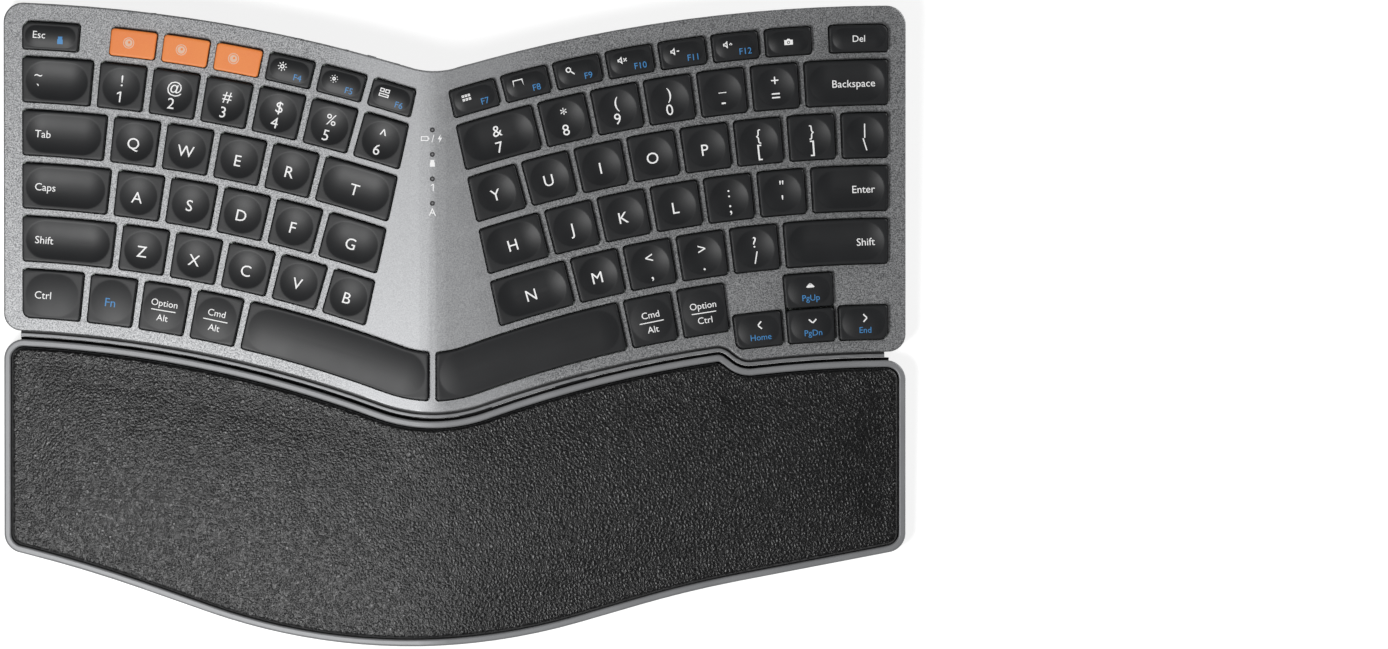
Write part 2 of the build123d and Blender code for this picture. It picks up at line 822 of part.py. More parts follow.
def top_plate():
    """Painted deck: a bent sheet with a well for each key, stakes for the steel plates and bosses for the screws."""
    plate = column(board_face) & between(0, plate_thickness)
    plate = fillet(deck_edges(plate, 0), plate_round)
    cuts = []
    for well in wells:
        cuts.append(on_deck(well.half, plate_thickness * 2) * extrude(key_face(well), plate_thickness * 3))
    for y in light_places():
        cuts.append(Location((split_x, y, 0)) * column(Circle(light_radius + light_gap)))
    plate -= cuts
    extras = []
    for half in halves:
        reach = well_level - plate_thickness / 2
        depth = steel_level + steel_thickness
        for place in stake_places(half):
            spot = on_deck(half, 0) * Location((*place, 0))
            extras.append(spot * column(Circle(stake_radius), -well_level, reach - well_level))
            extras.append(spot * column(Circle(stake_pin_radius), -depth - stake_head, -plate_thickness / 2))
            extras.append(spot * column(Circle(stake_radius), -depth - stake_head, -depth))
    plate += extras
    sheet = below_deck(plate_thickness / 2)
    for x, y in boss_places():
        plate += (Location((x, y, 0)) * column(Circle(boss_radius), boss_level, half_height)) & sheet
        plate -= Location((x, y, 0)) * column(Circle(screw_radius), boss_level, boss_level + screw_bite)
    return plate


def light_places():
    return [light_first + count * light_pitch for count in range(light_count)]


def deck_edges(shape, depth):
    """Edges of a sheet that lie `depth` below the deck's surface, without the two lines along the ridge."""
    ridge = (ridge_radius - depth) * sin(radians(tent_angle))
    chosen = []
    for edge in shape.edges():
        middle = edge @ 0.5
        along_ridge = abs(abs(middle.X - split_x) - ridge) < level_tolerance and abs((edge % 0.5).X) < level_tolerance
        level = deck_height(middle.X, middle.Y, depth)
        if abs(level - middle.Z) < level_tolerance and not along_ridge:
            chosen.append(edge)
    return chosen


def deck_height(x, y, depth=0):
    """Height over a point of the plan of the surface that lies `depth` below the deck."""
    angle = radians(tent_angle)
    slope = radians(deck_slope)
    side = abs(x - split_x)
    radius = ridge_radius - depth
    if side > radius * sin(angle):
        drop = side * tan(angle)
    else:
        drop = radius / cos(angle) - sqrt(radius ** 2 - side ** 2)
    return ridge_height + y * tan(slope) - (drop + depth / cos(angle)) / cos(slope)


def inset_board(amount):
    return case_outline(-amount)


def inset_rest(amount):
    return rest_outline(-amount)


def steel_outlines(half):
    """Plans on the deck of the areas that a half's steel plate covers: the wells and a border around them."""
    side_edge = StraightEdge(half.key_line, 0)
    split_edge = StraightEdge(inner_foot, inner_lean_share)
    bar_edge = StraightEdge(split_web * deck_stretch, 0)
    rear, front = rows["front"]
    upper = Key("", "", half, rows["function"][0], rows["lower"][1], side_edge, split_edge, "")
    lower = Key("", "", half, rear, front, side_edge, bar_edge, "bar")
    outlines = [key_face(upper, -steel_border), key_face(lower, -steel_border)]
    if half is right:
        low = notch_front_radius + arrow_border
        end = RadialEdge(left_arrow_shares[1] * key_pitch, (rear + low) / 2)
        outlines.append(key_face(Key("", "", half, rear, low, side_edge, end, ""), -steel_border))
    return outlines


def switch_layer(half, depth, thickness, inset, stake_hole):
    """Sheet under the keys of one half, `depth` below the deck, with holes for the stakes and the case screws."""
    sheets = [extrude(outline, thickness) for outline in steel_outlines(half)]
    sheet = on_deck(half, depth + thickness) * (sheets[0] + sheets[1:])
    sheet &= column(inset_board(case_wall + steel_edge_gap + inset))
    middle = split_x + half.side * (split_relief + inset + half_height)
    sheet &= Location((middle, 0, 0)) * Box(slack, 2 * slack, slack)
    cuts = [Location((x, y, 0)) * column(Circle(boss_radius + boss_gap)) for x, y in boss_places()]
    for place in stake_places(half):
        cuts.append(on_deck(half) * Location((*place, 0)) * column(Circle(stake_hole), -slack / 10, 0))
    return sheet - cuts


def membranes():
    hole = stake_radius + boss_gap
    sheets = [switch_layer(half, well_level, membrane_thickness, membrane_inset, hole) for half in halves]
    return solids_of(sheets)


def switch_plates():
    hole = stake_pin_radius + pin_gap
    sheets = [switch_layer(half, steel_level, steel_thickness, 0, hole) for half in halves]
    return solids_of(sheets)


def dome(radius):
    """Rubber dome: a hollow cone whose flat top the keycap presses."""
    top = radius * dome_top_share
    outer = loft([Circle(radius).face(), Location((0, 0, dome_height)) * Circle(top).face()])
    hollow = loft([Circle(radius - dome_wall).face(),
                   Location((0, 0, dome_height - 2 * dome_wall)) * Circle(top - dome_wall).face()])
    return outer - hollow


def rubber_domes():
    """A dome under the middle of each key, standing on the membrane."""
    shapes = {reach: dome(reach * dome_share) for reach in (link_reach, link_short_reach)}
    domes = []
    for key in keys:
        for x, y, turn in key_places(key):
            spot = on_deck(key.half, well_level) * Location((x, y, 0))
            domes.append(spot * shapes[link_size(key)])
    return solids_of(domes)


def scissor_pair(reach):
    """Two crossing frames that keep a keycap level: one nested in the other, tilted opposite ways."""
    tilt = degrees(asin(link_rise / reach))
    outer = link_frame(link_length, reach)
    inner = link_frame(link_length - 2 * (link_band + link_gap), reach)
    lift = Location((0, 0, link_lift + (link_rise + link_thickness) / 2))
    return [lift * Location((0, 0, 0), (tilt, 0, 0)) * outer, lift * Location((0, 0, 0), (-tilt, 0, 0)) * inner]


def link_frame(length, reach):
    frame = Rectangle(length, reach) - Rectangle(length - 2 * link_band, reach - 2 * link_band)
    return extrude(Location((0, 0, -link_thickness / 2)) * frame, link_thickness)


def scissor_frames():
    shapes = {reach: scissor_pair(reach) for reach in (link_reach, link_short_reach)}
    links = []
    for key in keys:
        for x, y, turn in key_places(key):
            spot = on_deck(key.half, well_level) * Location((x, y, 0), (0, 0, turn))
            links += [spot * link for link in shapes[link_size(key)]]
    return solids_of(links)


def front_ring(inner, outer):
    """Band in plan along the board's front edge, between two distances outside it."""
    ring = case_outline(outer) - case_outline(inner)
    left_end = split_x - trim_left_share * left_reach
    right_end = split_x + trim_right_share * right_reach
    window = Location(((left_end + right_end) / 2, 0)) * Rectangle(right_end - left_end, front_span)
    return ring & window


def front_trim():
    """Bright strip along the front edge: a lip a hair away from the deck's edge over a foot on the case wall."""
    lip = column(front_ring(seam, seam + trim_width)) & between(trim_drop, trim_drop + trim_height)
    foot = column(front_ring(0, seam)) & between(plate_thickness + seam, trim_drop + trim_height)
    return lip + foot


def edge_frame(half, radius, angle):
    """Place on an edge of the case in plan: X along the edge and Y to the rear, at the level of the origin."""
    return Location((*half.plan_point(radius, angle), 0), (0, 0, half.side * degrees(angle)))


def magnet_spots(radius):
    """Places of the magnets behind an edge that runs along the front of the board."""
    spots = []
    for half in halves:
        for share in magnet_shares:
            angle = asin((half.arc_reach - share * half.reach) / radius)
            spots.append(edge_frame(half, radius, angle))
    return spots


def magnet_block(spot, side, wall):
    """Box that grows out of a wall and the pocket in it that a magnet drops into, on one `side` of the wall."""
    width = magnet_width + 2 * magnet_gap
    length = magnet_length + 2 * magnet_gap
    depth = magnet_skin + width + magnet_band + wall / 2
    block = column(Rectangle(length + 2 * magnet_band, depth), case_bottom, magnet_level + magnet_height)
    pocket = column(Rectangle(length, width), magnet_level, magnet_level + half_height)
    pocket = spot * Location((0, side * (magnet_skin + width / 2), 0)) * pocket
    return spot * Location((0, side * (depth - wall) / 2, 0)) * block, pocket


def magnets(radius, side):
    bar = column(Rectangle(magnet_length, magnet_width), magnet_level, magnet_level + magnet_height)
    shift = Location((0, side * (magnet_skin + magnet_gap + magnet_width / 2), 0))
    return solids_of([spot * shift * bar for spot in magnet_spots(radius)])


def foot_place(half):
    """Place of a foot: X along its hinge and the origin on the hinge's axis."""
    x = split_x + half.side * half.reach * foot_share
    rear = arc_y(half, rear_radius, x + half.side * foot_width / 2)
    return Location((x, rear - foot_border, case_bottom + foot_lift + foot_thickness / 2))


def foot():
    """Flat foot folded under the case, rounded about the pins at its rear end, with a grip groove at its tip."""
    radius = foot_thickness / 2
    plate = Location((0, -foot_length / 2, 0)) * Box(foot_width, foot_length, foot_thickness)
    knuckle = Cylinder(radius, foot_width, rotation=(0, 90, 0))
    shape = plate + knuckle
    tip = shape.faces().sort_by(Axis.Y)[0]
    shape = fillet(tip.edges().filter_by(Axis.X), foot_round)
    groove = Location((0, -foot_length * foot_groove_share, -radius)) * Box(foot_width / 2, foot_groove, foot_groove)
    shape -= groove
    pins = Cylinder(foot_pin_radius, foot_width + 2 * foot_pin_length, rotation=(0, 90, 0))
    return shape + pins


def foot_recess(half):
    """Box in the floor that a foot folds into: the solid to add and the hollow and pin holes to cut."""
    place = foot_place(half)
    clearance = foot_thickness / 2 + foot_gap
    length = clearance + foot_length + foot_finger
    width = foot_width + 2 * foot_gap
    middle = clearance - length / 2
    hollow = Location((0, middle, -half_height + clearance)) * Box(width, length, slack)
    roof = clearance + recess_wall
    base = case_bottom - (case_bottom + foot_lift + foot_thickness / 2)
    shell = Location((0, middle, base)) * extrude(Rectangle(width + 2 * recess_wall, length + 2 * recess_wall),
                                                  roof - base)
    reach = foot_width + 2 * (foot_pin_length + foot_gap)
    holes = Cylinder(foot_pin_radius + foot_pin_gap, reach, rotation=(0, 90, 0))
    return place * shell, place * (hollow + holes)


def battery_outline(margin=0):
    shape = Rectangle(battery_length + 2 * margin, battery_width + 2 * margin)
    place = Location((split_x - left_reach * battery_share, rear_stake_span / 2), (0, 0, battery_turn))
    return place * fillet(shape.vertices(), battery_corner + margin)


def battery():
    pack = column(battery_outline(), case_floor, case_floor + battery_height)
    return chamfer(pack.edges().group_by(Axis.Z)[-1], battery_corner / 4)


def port_place():
    """Middle of the port's mouth, in the valley of the rear wall."""
    return Location((split_x, valley_y - port_recess, board_level + board_thickness + port_height / 2))


def port_section(width, height):
    section = Rectangle(width, height)
    return fillet(section.vertices(), height / 2 - seam)


def usb_port():
    """Metal shell of the port, open at the rear, with the contact tongue inside."""
    inner_width = port_width - 2 * port_wall
    inner_height = port_height - 2 * port_wall
    shell = port_section(port_width, port_height)
    body = extrude(Plane.XZ * shell, port_depth)
    hollow = extrude(Plane.XZ * port_section(inner_width, inner_height), port_depth - 2 * port_wall)
    tongue = Location((0, -port_depth / 2 - port_wall, 0)) * Box(tongue_width, port_depth - 4 * port_wall,
                                                                tongue_thickness)
    return port_place() * (body - hollow + tongue)


def switch_spot():
    """Place of the power switch: on the inner face of the rear wall, X along the wall."""
    angle = switch_place / rear_radius
    base = edge_frame(left, rear_radius - case_wall, angle)
    return base * Location((0, 0, board_level + board_thickness + switch_height / 2))


def power_slider():
    """Thumb slider: a knob through the slot in the rear wall, a flange behind it and a lever into the switch."""
    reach = case_wall + slider_proud
    knob = Location((0, reach / 2 - slider_gap, 0)) * Box(slider_length, reach + 2 * slider_gap, slider_height)
    flange_length = slider_length + 2 * (slider_travel + slider_gap)
    flange = Location((0, -slider_gap - slider_flange / 2, 0)) * Box(flange_length, slider_flange, switch_height)
    lever = Location((0, -slider_gap - slider_flange, 0)) * Box(slider_lever, 2 * slider_flange, slider_height / 2)
    start = Location((-slider_travel / 2, 0, 0))
    return switch_spot() * start * (knob + flange + lever)


def switch_housing():
    """Switch on the board behind the wall, with a slot that the slider's lever runs in."""
    near = 2 * slider_gap + slider_flange
    body = Location((0, -near - switch_body / 2, 0)) * Box(switch_length, switch_body, switch_height)
    slot = Location((0, -near, 0)) * Box(slider_lever + slider_travel + 2 * slider_gap, 2 * switch_slot,
                                         slider_height / 2 + 2 * slider_gap)
    return switch_spot() * (body - slot)


def board_posts():
    """Middles of the posts that carry the main board."""
    x = board_half_width * board_post_share
    front = board_front + board_half_width - x
    rear = board_rear - port_depth - (board_half_width - x)
    return [(split_x + side * x, y) for side in (LEFT, RIGHT) for y in (front, rear)]


def main_board():
    """Green board under the split: a tall panel with an ear to the power switch, chips and the switch's body."""
    middle = (board_front + board_rear) / 2
    panel = Location((split_x, middle)) * Rectangle(2 * board_half_width, board_rear - board_front)
    ear_rear = board_rear + board_ear_lift
    ear = Location((split_x - board_half_width, ear_rear - board_ear_depth / 2)) * Rectangle(board_ear, board_ear_depth)
    outline = (panel + ear) & inset_board(case_wall + steel_edge_gap)
    board = column(outline, board_level, board_level + board_thickness)
    for x, y in board_posts():
        board -= Location((x, y, 0)) * column(Circle(stake_pin_radius + pin_gap))
    for share, rear_share in chip_shares:
        place = (split_x + share * board_half_width, board_front + rear_share * board_length)
        chip = Location(place) * Rectangle(chip_size, chip_size)
        board += column(chip, board_level + board_thickness, board_level + board_thickness + chip_height)
    for y in light_places():
        lamp = Location((split_x, y)) * Rectangle(2 * light_radius, 2 * light_radius)
        board += column(lamp, board_level + board_thickness, board_level + board_thickness + lamp_height)
    return board + switch_housing()


def indicator_lights():
    """Clear light pipes from the lamps on the board to the deck, each with a collar under the deck."""
    foot_level = board_level + board_thickness + lamp_height + seam
    pipes = []
    for y in light_places():
        place = Location((split_x, y, 0))
        pipe = place * column(Circle(light_radius), foot_level, half_height)
        pipe &= below_deck(-light_proud)
        collar = place * column(Circle(light_radius + light_collar), -half_height, half_height)
        collar &= between(plate_thickness, plate_thickness + light_collar_height)
        pipes.append(pipe + collar)
    return solids_of(pipes)


def case_screws():
    """Screws up through the floor into the plate's bosses."""
    head_base = case_bottom + screw_sink
    shaft_base = head_base + screw_head_height
    screws = []
    for x, y in boss_places():
        head = column(Circle(screw_head_radius), head_base, shaft_base)
        head -= column(RegularPolygon(screw_radius, 6), head_base, head_base + screw_head_height / 2)
        shaft = column(Circle(screw_radius), shaft_base, boss_level + screw_bite)
        screws.append(Location((x, y, 0)) * (head + shaft))
    return solids_of(screws)


def bottom_cover():
    """Case bottom: floor and walls up to the deck, towers, pockets and openings."""
    body = column(board_face, case_bottom, half_height)
    body = fillet(body.edges().group_by(Axis.Z)[0], case_round)
    body &= below_deck(plate_thickness)
    body -= column(inset_board(case_wall), case_floor, half_height)
    adds = []
    cuts = []
    for x, y in boss_places():
        spot = Location((x, y, 0))
        adds.append(spot * column(Circle(screw_head_radius + boss_gap + seam), case_bottom, boss_level))
        cuts.append(spot * column(Circle(screw_radius + screw_hole_gap), case_bottom, boss_level))
        cuts.append(spot * column(Circle(screw_head_radius + screw_hole_gap), 0,
                                  case_bottom + screw_sink + screw_head_height))
    for x, y in board_posts():
        adds.append(Location((x, y, 0)) * column(Circle(boss_radius), case_bottom, board_level))
        adds.append(Location((x, y, 0)) * column(Circle(stake_pin_radius), case_bottom,
                                                 board_level + 2 * board_thickness))
    for spot in magnet_spots(front_radius + case_wall):
        block, pocket = magnet_block(spot, REARWARD, case_wall)
        adds.append(block)
        cuts.append(pocket)
    for half in halves:
        shell, hollow = foot_recess(half)
        adds.append(shell)
        cuts.append(hollow)
    fence = battery_outline(battery_gap + battery_fence) - battery_outline(battery_gap)
    adds.append(column(fence, case_bottom + floor_thickness / 2, case_floor + battery_height / 2))
    cuts += [Location((0, 0, case_bottom)) * extrude(pad, pad_sink) for pad in case_pad_faces(pad_seam)]
    opening = port_section(port_width + 2 * port_gap, port_height + 2 * port_gap)
    cuts.append(port_place() * extrude(Plane.XZ * opening, port_depth, both=True))
    slot = Box(slider_length + slider_travel + 2 * slider_gap, 2 * case_wall + port_depth / 2,
               slider_height + 2 * slider_gap)
    cuts.append(switch_spot() * Location((0, case_wall, 0)) * slot)
    return body + adds - cuts


def pad_face(middle, length, margin=0):
    return Location((*middle, 0)) * SlotOverall(length + 2 * margin, 2 * (pad_radius + margin))


def case_pad_faces(margin=0):
    """Plans of the rubber pads under the board: near its corners and one at the middle of the front."""
    faces = []
    for half in halves:
        for place_share, depth_share in case_pad_shares:
            middle = (split_x + half.side * half.reach * place_share, rest_depth * depth_share)
            faces.append(pad_face(middle, case_pad_length, margin))
    return faces


def case_pads():
    return solids_of([extrude(face, pad_height + pad_sink) for face in case_pad_faces()])


def rest_pad_faces(margin=0):
    """Plans of the rubber pads under the palm rest."""
    faces = []
    for half in halves:
        for place_share, depth_share in rest_pad_shares:
            middle = (split_x + half.side * half.reach * place_share, -rest_depth * depth_share)
            faces.append(pad_face(middle, rest_pad_length, margin))
    return faces


def rest_pads():
    return solids_of([extrude(face, pad_height + pad_sink) for face in rest_pad_faces()])


def rest_posts():
    """Middles of the posts under the carrier plate."""
    places = []
    for half in halves:
        places += [(split_x + half.side * half.reach * share, -rest_depth * depth_share)
                   for share, depth_share in rest_post_shares]
    return places


def rest_wall_radius():
    """Radius of the inner face of the tray's rear wall."""
    return front_radius - seam - trim_width - rest_gap - tray_inset - tray_wall


def rest_tray():
    """Shell of the palm rest: floor, walls with a ledge for the carrier plate, posts and magnet blocks.

    The magnets pull through noses that reach under the bright strip, almost up to the wall of the case.
    """
    level = rest_drop + rim_height
    body = column(inset_rest(tray_inset), case_bottom, half_height)
    body = fillet(body.edges().group_by(Axis.Z)[0], case_round)
    body &= below_deck(level)
    body -= column(inset_rest(tray_inset + tray_wall), case_floor, half_height)
    sheet = below_deck(level)
    adds = [(Location((x, y, 0)) * column(Circle(rest_post_radius), case_bottom, half_height)) & sheet
            for x, y in rest_posts()]
    cuts = [Location((0, 0, case_bottom)) * extrude(pad, pad_sink) for pad in rest_pad_faces(pad_seam)]
    nose_reach = tray_inset + rest_gap + trim_width + seam - nose_gap
    for spot in magnet_spots(rest_wall_radius()):
        block, pocket = magnet_block(spot, FORWARD, tray_wall)
        nose = column(Rectangle(magnet_length, nose_reach + tray_wall / 2), magnet_level, magnet_level + magnet_height)
        adds += [block, spot * Location((0, (3 * tray_wall / 2 + nose_reach) / 2, 0)) * nose]
        cuts.append(pocket)
    return body + adds - cuts


def rest_rim():
    """Frame around the cushion."""
    ring = column(rest_face - inset_rest(rim_width)) & between(rest_drop, rest_drop + rim_height)
    return fillet(deck_edges(ring, rest_drop), rim_round)


def rest_carrier():
    level = rest_drop + rim_height
    return column(inset_rest(rim_width + cushion_gap / 2)) & between(level - carrier_thickness, level)


def cushion(inset, rise, rounding):
    """Cushion body over the carrier plate, its top `rise` above the rim and its edge rounded."""
    base = rest_drop + rim_height - carrier_thickness
    body = column(rest_outline(-inset, rounding + seam)) & between(rest_drop - rise, base)
    return fillet(deck_edges(body, rest_drop - rise), rounding)


def rest_foam():
    return cushion(rim_width + cushion_gap + leather_thickness, cushion_rise - leather_thickness,
                   cushion_round - leather_thickness)


def rest_cover():
    """Leather cover: the cushion's top and sides around the foam."""
    return cushion(rim_width + cushion_gap, cushion_rise, cushion_round) - rest_foam()


def key_nodes():
    """Keycaps by node; the caps of a shared node stay separate solids."""
    groups = {}
    for key in keys:
        groups.setdefault(key.node, []).append(keycap(key))
    return {name: solids_of(caps) for name, caps in groups.items()}


def parts():
    """Every node of the keyboard by name."""
    nodes = {"top_plate": top_plate(), "front_trim": front_trim(), "bottom_cover": bottom_cover(),
             "switch_plates": switch_plates(), "membranes": membranes(), "rubber_domes": rubber_domes(),
             "scissor_frames": scissor_frames(), "main_board": main_board(), "battery": battery(),
             "usb_port": usb_port(), "power_slider": power_slider(), "indicator_lights": indicator_lights(),
             "case_screws": case_screws(), "case_pads": case_pads(),
             "case_magnets": magnets(front_radius + case_wall, REARWARD),
             "left_foot": foot_place(left) * foot(), "right_foot": foot_place(right) * foot(),
             "rest_tray": rest_tray(), "rest_carrier": rest_carrier(), "rest_rim": rest_rim(),
             "rest_foam": rest_foam(), "rest_cover": rest_cover(), "rest_pads": rest_pads()}
    nodes["rest_magnets"] = magnets(rest_wall_radius(), FORWARD)
    nodes.update(key_nodes())
    return nodes


os.makedirs("parts", exist_ok=True)
for part_name, shape in parts().items():
    export_step(shape, f"parts/{part_name}.step")
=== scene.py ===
"""Looks of an ergonomic split keyboard with a palm rest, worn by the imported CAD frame.

Everything is in the frame's own place, +X to the right, +Y to the rear and +Z up. Blender works in metres; sizes of
the keyboard are millimetres here, as they are in its CAD source, and `MM` turns them into metres.
"""
import json
import logging
from collections.abc import Callable, Mapping, Sequence
from dataclasses import dataclass, field
from enum import Enum
from math import atan, atan2, cos, hypot, pi, radians, sin, sqrt, tan

import bmesh
import bpy
import numpy as np
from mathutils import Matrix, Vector

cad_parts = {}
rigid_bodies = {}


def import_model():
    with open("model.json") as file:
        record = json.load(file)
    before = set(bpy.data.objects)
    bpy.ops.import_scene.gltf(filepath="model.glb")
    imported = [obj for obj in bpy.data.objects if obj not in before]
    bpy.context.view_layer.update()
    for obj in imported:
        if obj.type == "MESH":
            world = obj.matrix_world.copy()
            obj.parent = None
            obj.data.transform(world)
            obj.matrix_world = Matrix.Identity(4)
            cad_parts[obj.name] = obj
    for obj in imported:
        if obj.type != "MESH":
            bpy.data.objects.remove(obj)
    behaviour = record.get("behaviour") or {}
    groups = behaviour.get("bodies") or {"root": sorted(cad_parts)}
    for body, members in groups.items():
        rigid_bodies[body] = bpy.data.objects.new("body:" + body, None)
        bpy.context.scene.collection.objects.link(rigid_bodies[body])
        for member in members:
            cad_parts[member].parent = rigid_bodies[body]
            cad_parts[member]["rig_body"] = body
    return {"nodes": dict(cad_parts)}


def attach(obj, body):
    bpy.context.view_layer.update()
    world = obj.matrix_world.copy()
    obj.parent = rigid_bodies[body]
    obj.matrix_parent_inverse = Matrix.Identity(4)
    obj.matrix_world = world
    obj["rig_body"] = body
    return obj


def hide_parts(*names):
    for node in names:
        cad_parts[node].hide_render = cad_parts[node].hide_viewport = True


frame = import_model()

log = logging.getLogger("keyboard")

MM = 0.001
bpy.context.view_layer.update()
Colour = tuple[float, float, float]


def linear(red: float, green: float, blue: float) -> Colour:
    """Colour as light, from screen values of 0 to 255.

    Args:
        red: Red as it is on a screen.
        green: Green as it is on a screen.
        blue: Blue as it is on a screen.

    Returns:
        The three values in linear light: a screen value under 4% is divided by 12.92, and any other follows the
        power 2.4.
    """
    shares = (value / 255 for value in (red, green, blue))
    return tuple(s / 12.92 if s <= 0.04045 else ((s + 0.055) / 1.055) ** 2.4 for s in shares)


# Shader maths


class Signal:
    """A number that runs through a material: its arithmetic adds Math nodes."""

    def __init__(self, sheet: "ShaderSheet", socket: bpy.types.NodeSocket) -> None:
        """Wrap a node's output."""
        self.sheet = sheet
        self.socket = socket

    def _math(self, operation: str, *values: "Signal | float") -> "Signal":
        """Math node of one operation on one, two or three values."""
        return self.sheet.out("ShaderNodeMath", {"operation": operation}, dict(enumerate(values)))

    def __add__(self, other: "Signal | float") -> "Signal":
        """Sum."""
        return self._math("ADD", self, other)

    def __radd__(self, other: float) -> "Signal":
        """Sum with a number on the left."""
        return self._math("ADD", other, self)

    def __sub__(self, other: "Signal | float") -> "Signal":
        """Difference."""
        return self._math("SUBTRACT", self, other)

    def __rsub__(self, other: float) -> "Signal":
        """Difference from a number on the left."""
        return self._math("SUBTRACT", other, self)

    def __mul__(self, other: "Signal | float") -> "Signal":
        """Product."""
        return self._math("MULTIPLY", self, other)

    def __rmul__(self, other: float) -> "Signal":
        """Product with a number on the left."""
        return self._math("MULTIPLY", other, self)

    def __truediv__(self, other: "Signal | float") -> "Signal":
        """Quotient."""
        return self._math("DIVIDE", self, other)

    def __pow__(self, other: float) -> "Signal":
        """Power."""
        return self._math("POWER", self, other)

    def between(self, low: float, high: float) -> "Signal":
        """Smooth step from 0 at `low` to 1 at `high`."""
        return self.sheet.out("ShaderNodeMapRange", {"interpolation_type": "SMOOTHSTEP"},
                              {"Value": self, "From Min": low, "From Max": high})


class ShaderSheet:
    """Node tree of one material, with a Principled shader that ends it."""

    def __init__(self, name: str) -> None:
        """Start a material of that name."""
        self.material = bpy.data.materials.new(name)
        self.material.use_nodes = True
        self.tree = self.material.node_tree
        self.tree.nodes.clear()
        self.place = self.node("ShaderNodeTexCoord").outputs["Object"]

    def node(self, kind: str, settings: Mapping[str, object] | None = None,
             inputs: Mapping[str | int, object] | None = None) -> bpy.types.Node:
        """Add a node of any type.

        Args:
            kind: The node's type.
            settings: Its own settings, set first. "stops" holds a ramp's places and colours.
            inputs: Values or links of its sockets, by name or number.

        Returns:
            The node.
        """
        made = self.tree.nodes.new(kind)
        for name, value in (settings or {}).items():
            if name == "stops":
                self._set_stops(made.color_ramp, value)
            else:
                setattr(made, name, value)
        for name, value in (inputs or {}).items():
            self._feed(made.inputs[name], value)
        return made

    def out(self, kind: str, settings: Mapping[str, object], inputs: Mapping[str | int, object],
            output: str | int = 0) -> Signal:
        """One output of a new node, ready for arithmetic."""
        return Signal(self, self.node(kind, settings, inputs).outputs[output])

    @staticmethod
    def _set_stops(ramp: bpy.types.ColorRamp, stops: Sequence[tuple[float, Colour]]) -> None:
        """Give a ramp its places and colours, in rising order."""
        while len(ramp.elements) < len(stops):
            ramp.elements.new(1.0)
        for element, (place, colour) in zip(ramp.elements, stops):
            element.position = place
            element.color = (*colour, 1.0)

    def _feed(self, socket: bpy.types.NodeSocket, value: object) -> None:
        """Set a socket's value, or link it."""
        if isinstance(value, Signal):
            self.tree.links.new(value.socket, socket)
        elif isinstance(value, bpy.types.NodeSocket):
            self.tree.links.new(value, socket)
        elif isinstance(value, tuple) and len(value) == 3 and socket.type == "RGBA":
            socket.default_value = (*value, 1.0)
        else:
            socket.default_value = value

    def noise(self, size: float, detail: float = 2.0, stretch: Sequence[float] = (1, 1, 1)) -> Signal:
        """Soft noise whose grains are `size` millimetres across, stretched along the axes."""
        place = self.place
        if tuple(stretch) != (1, 1, 1):
            place = self.node("ShaderNodeMapping", {}, {"Vector": place, "Scale": tuple(stretch)}).outputs[0]
        return self.out("ShaderNodeTexNoise", {}, {"Vector": place, "Scale": 1 / (size * MM), "Detail": detail})

    def cells(self, size: float, feature: str = "F1", randomness: float = 1.0) -> Signal:
        """Distance field of scattered cells, `size` millimetres across."""
        return self.out("ShaderNodeTexVoronoi", {"feature": feature},
                        {"Vector": self.place, "Scale": 1 / (size * MM), "Randomness": randomness}, "Distance")

    def axis(self, name: str) -> Signal:
        """One coordinate of the place on the object, in metres."""
        return self.out("ShaderNodeSeparateXYZ", {}, {0: self.place}, name)

    def attribute(self, name: str) -> Signal:
        """Number that the mesh carries at each face or corner."""
        return self.out("ShaderNodeAttribute", {"attribute_name": name}, {}, "Fac")

    def blend(self, share: Signal | float, first: object, second: object) -> bpy.types.NodeSocket:
        """Colour that goes from the first to the second as the share goes from 0 to 1."""
        return self.node("ShaderNodeMix", {"data_type": "RGBA"},
                         {"Factor": share, 6: first, 7: second}).outputs[2]

    def bump(self, height: Signal, depth: float, strength: float = 1.0) -> bpy.types.NodeSocket:
        """Normal of a relief whose height signal is `depth` millimetres tall for each unit."""
        return self.node("ShaderNodeBump", {}, {"Height": height, "Distance": depth * MM,
                                                "Strength": strength}).outputs[0]

    def finish(self, inputs: Mapping[str, object]) -> bpy.types.Material:
        """End the tree in a Principled shader with these inputs and give back the material."""
        shader = self.node("ShaderNodeBsdfPrincipled", {}, inputs)
        self.node("ShaderNodeOutputMaterial", {}, {"Surface": shader.outputs[0]})
        return self.material


# Finishes


@dataclass(frozen=True)
class PaintFinish:
    """Metallic paint of the deck: fine bright and dark flakes under a satin lacquer."""

    name: str = "deck_paint"
    colour: Colour = linear(166, 167, 169)
    dark: Colour = linear(66, 67, 70)
    bright: Colour = linear(182, 183, 184)
    # Reach along the ridge of the painted glare highlight, in millimetres.
    glare_reach: float = 15.0
    flake_size: float = 0.44
    cloud_size: float = 60.0

    def make(self) -> bpy.types.Material:
        """Build the paint: flakes vary its colour, roughness and relief, and near the ridge their colour fades into a
        plain lighter tone, a painted highlight of the lamp's glare.
        """
        sheet = ShaderSheet(self.name)
        flakes = sheet.noise(self.flake_size, 3.0)
        fine = sheet.noise(self.flake_size / 2.4, 2.0)
        cloud = sheet.noise(self.cloud_size, 1.0)
        speckle = (flakes * 0.65 + fine * 0.35).between(0.34, 0.66)
        tone = sheet.blend(speckle, self.dark, self.bright)
        # Painted highlight: near the ridge the flakes fade into the plain, lighter colour, as if the lamp's glare hid
        # them; the cloud also shifts the tone at random.
        off_glare = ((sheet.axis("X") - SPLIT_X * MM) ** 2.0).between((self.glare_reach * MM) ** 2,
                                                                 (3 * self.glare_reach * MM) ** 2)
        tone = sheet.blend(cloud * 0.2 + (1 - off_glare) * 0.55, tone, self.colour)
        return sheet.finish({"Base Color": tone, "Metallic": 0.5, "Roughness": 0.38 + speckle * 0.1,
                             "Normal": sheet.bump(flakes, 0.022, 1.0)})


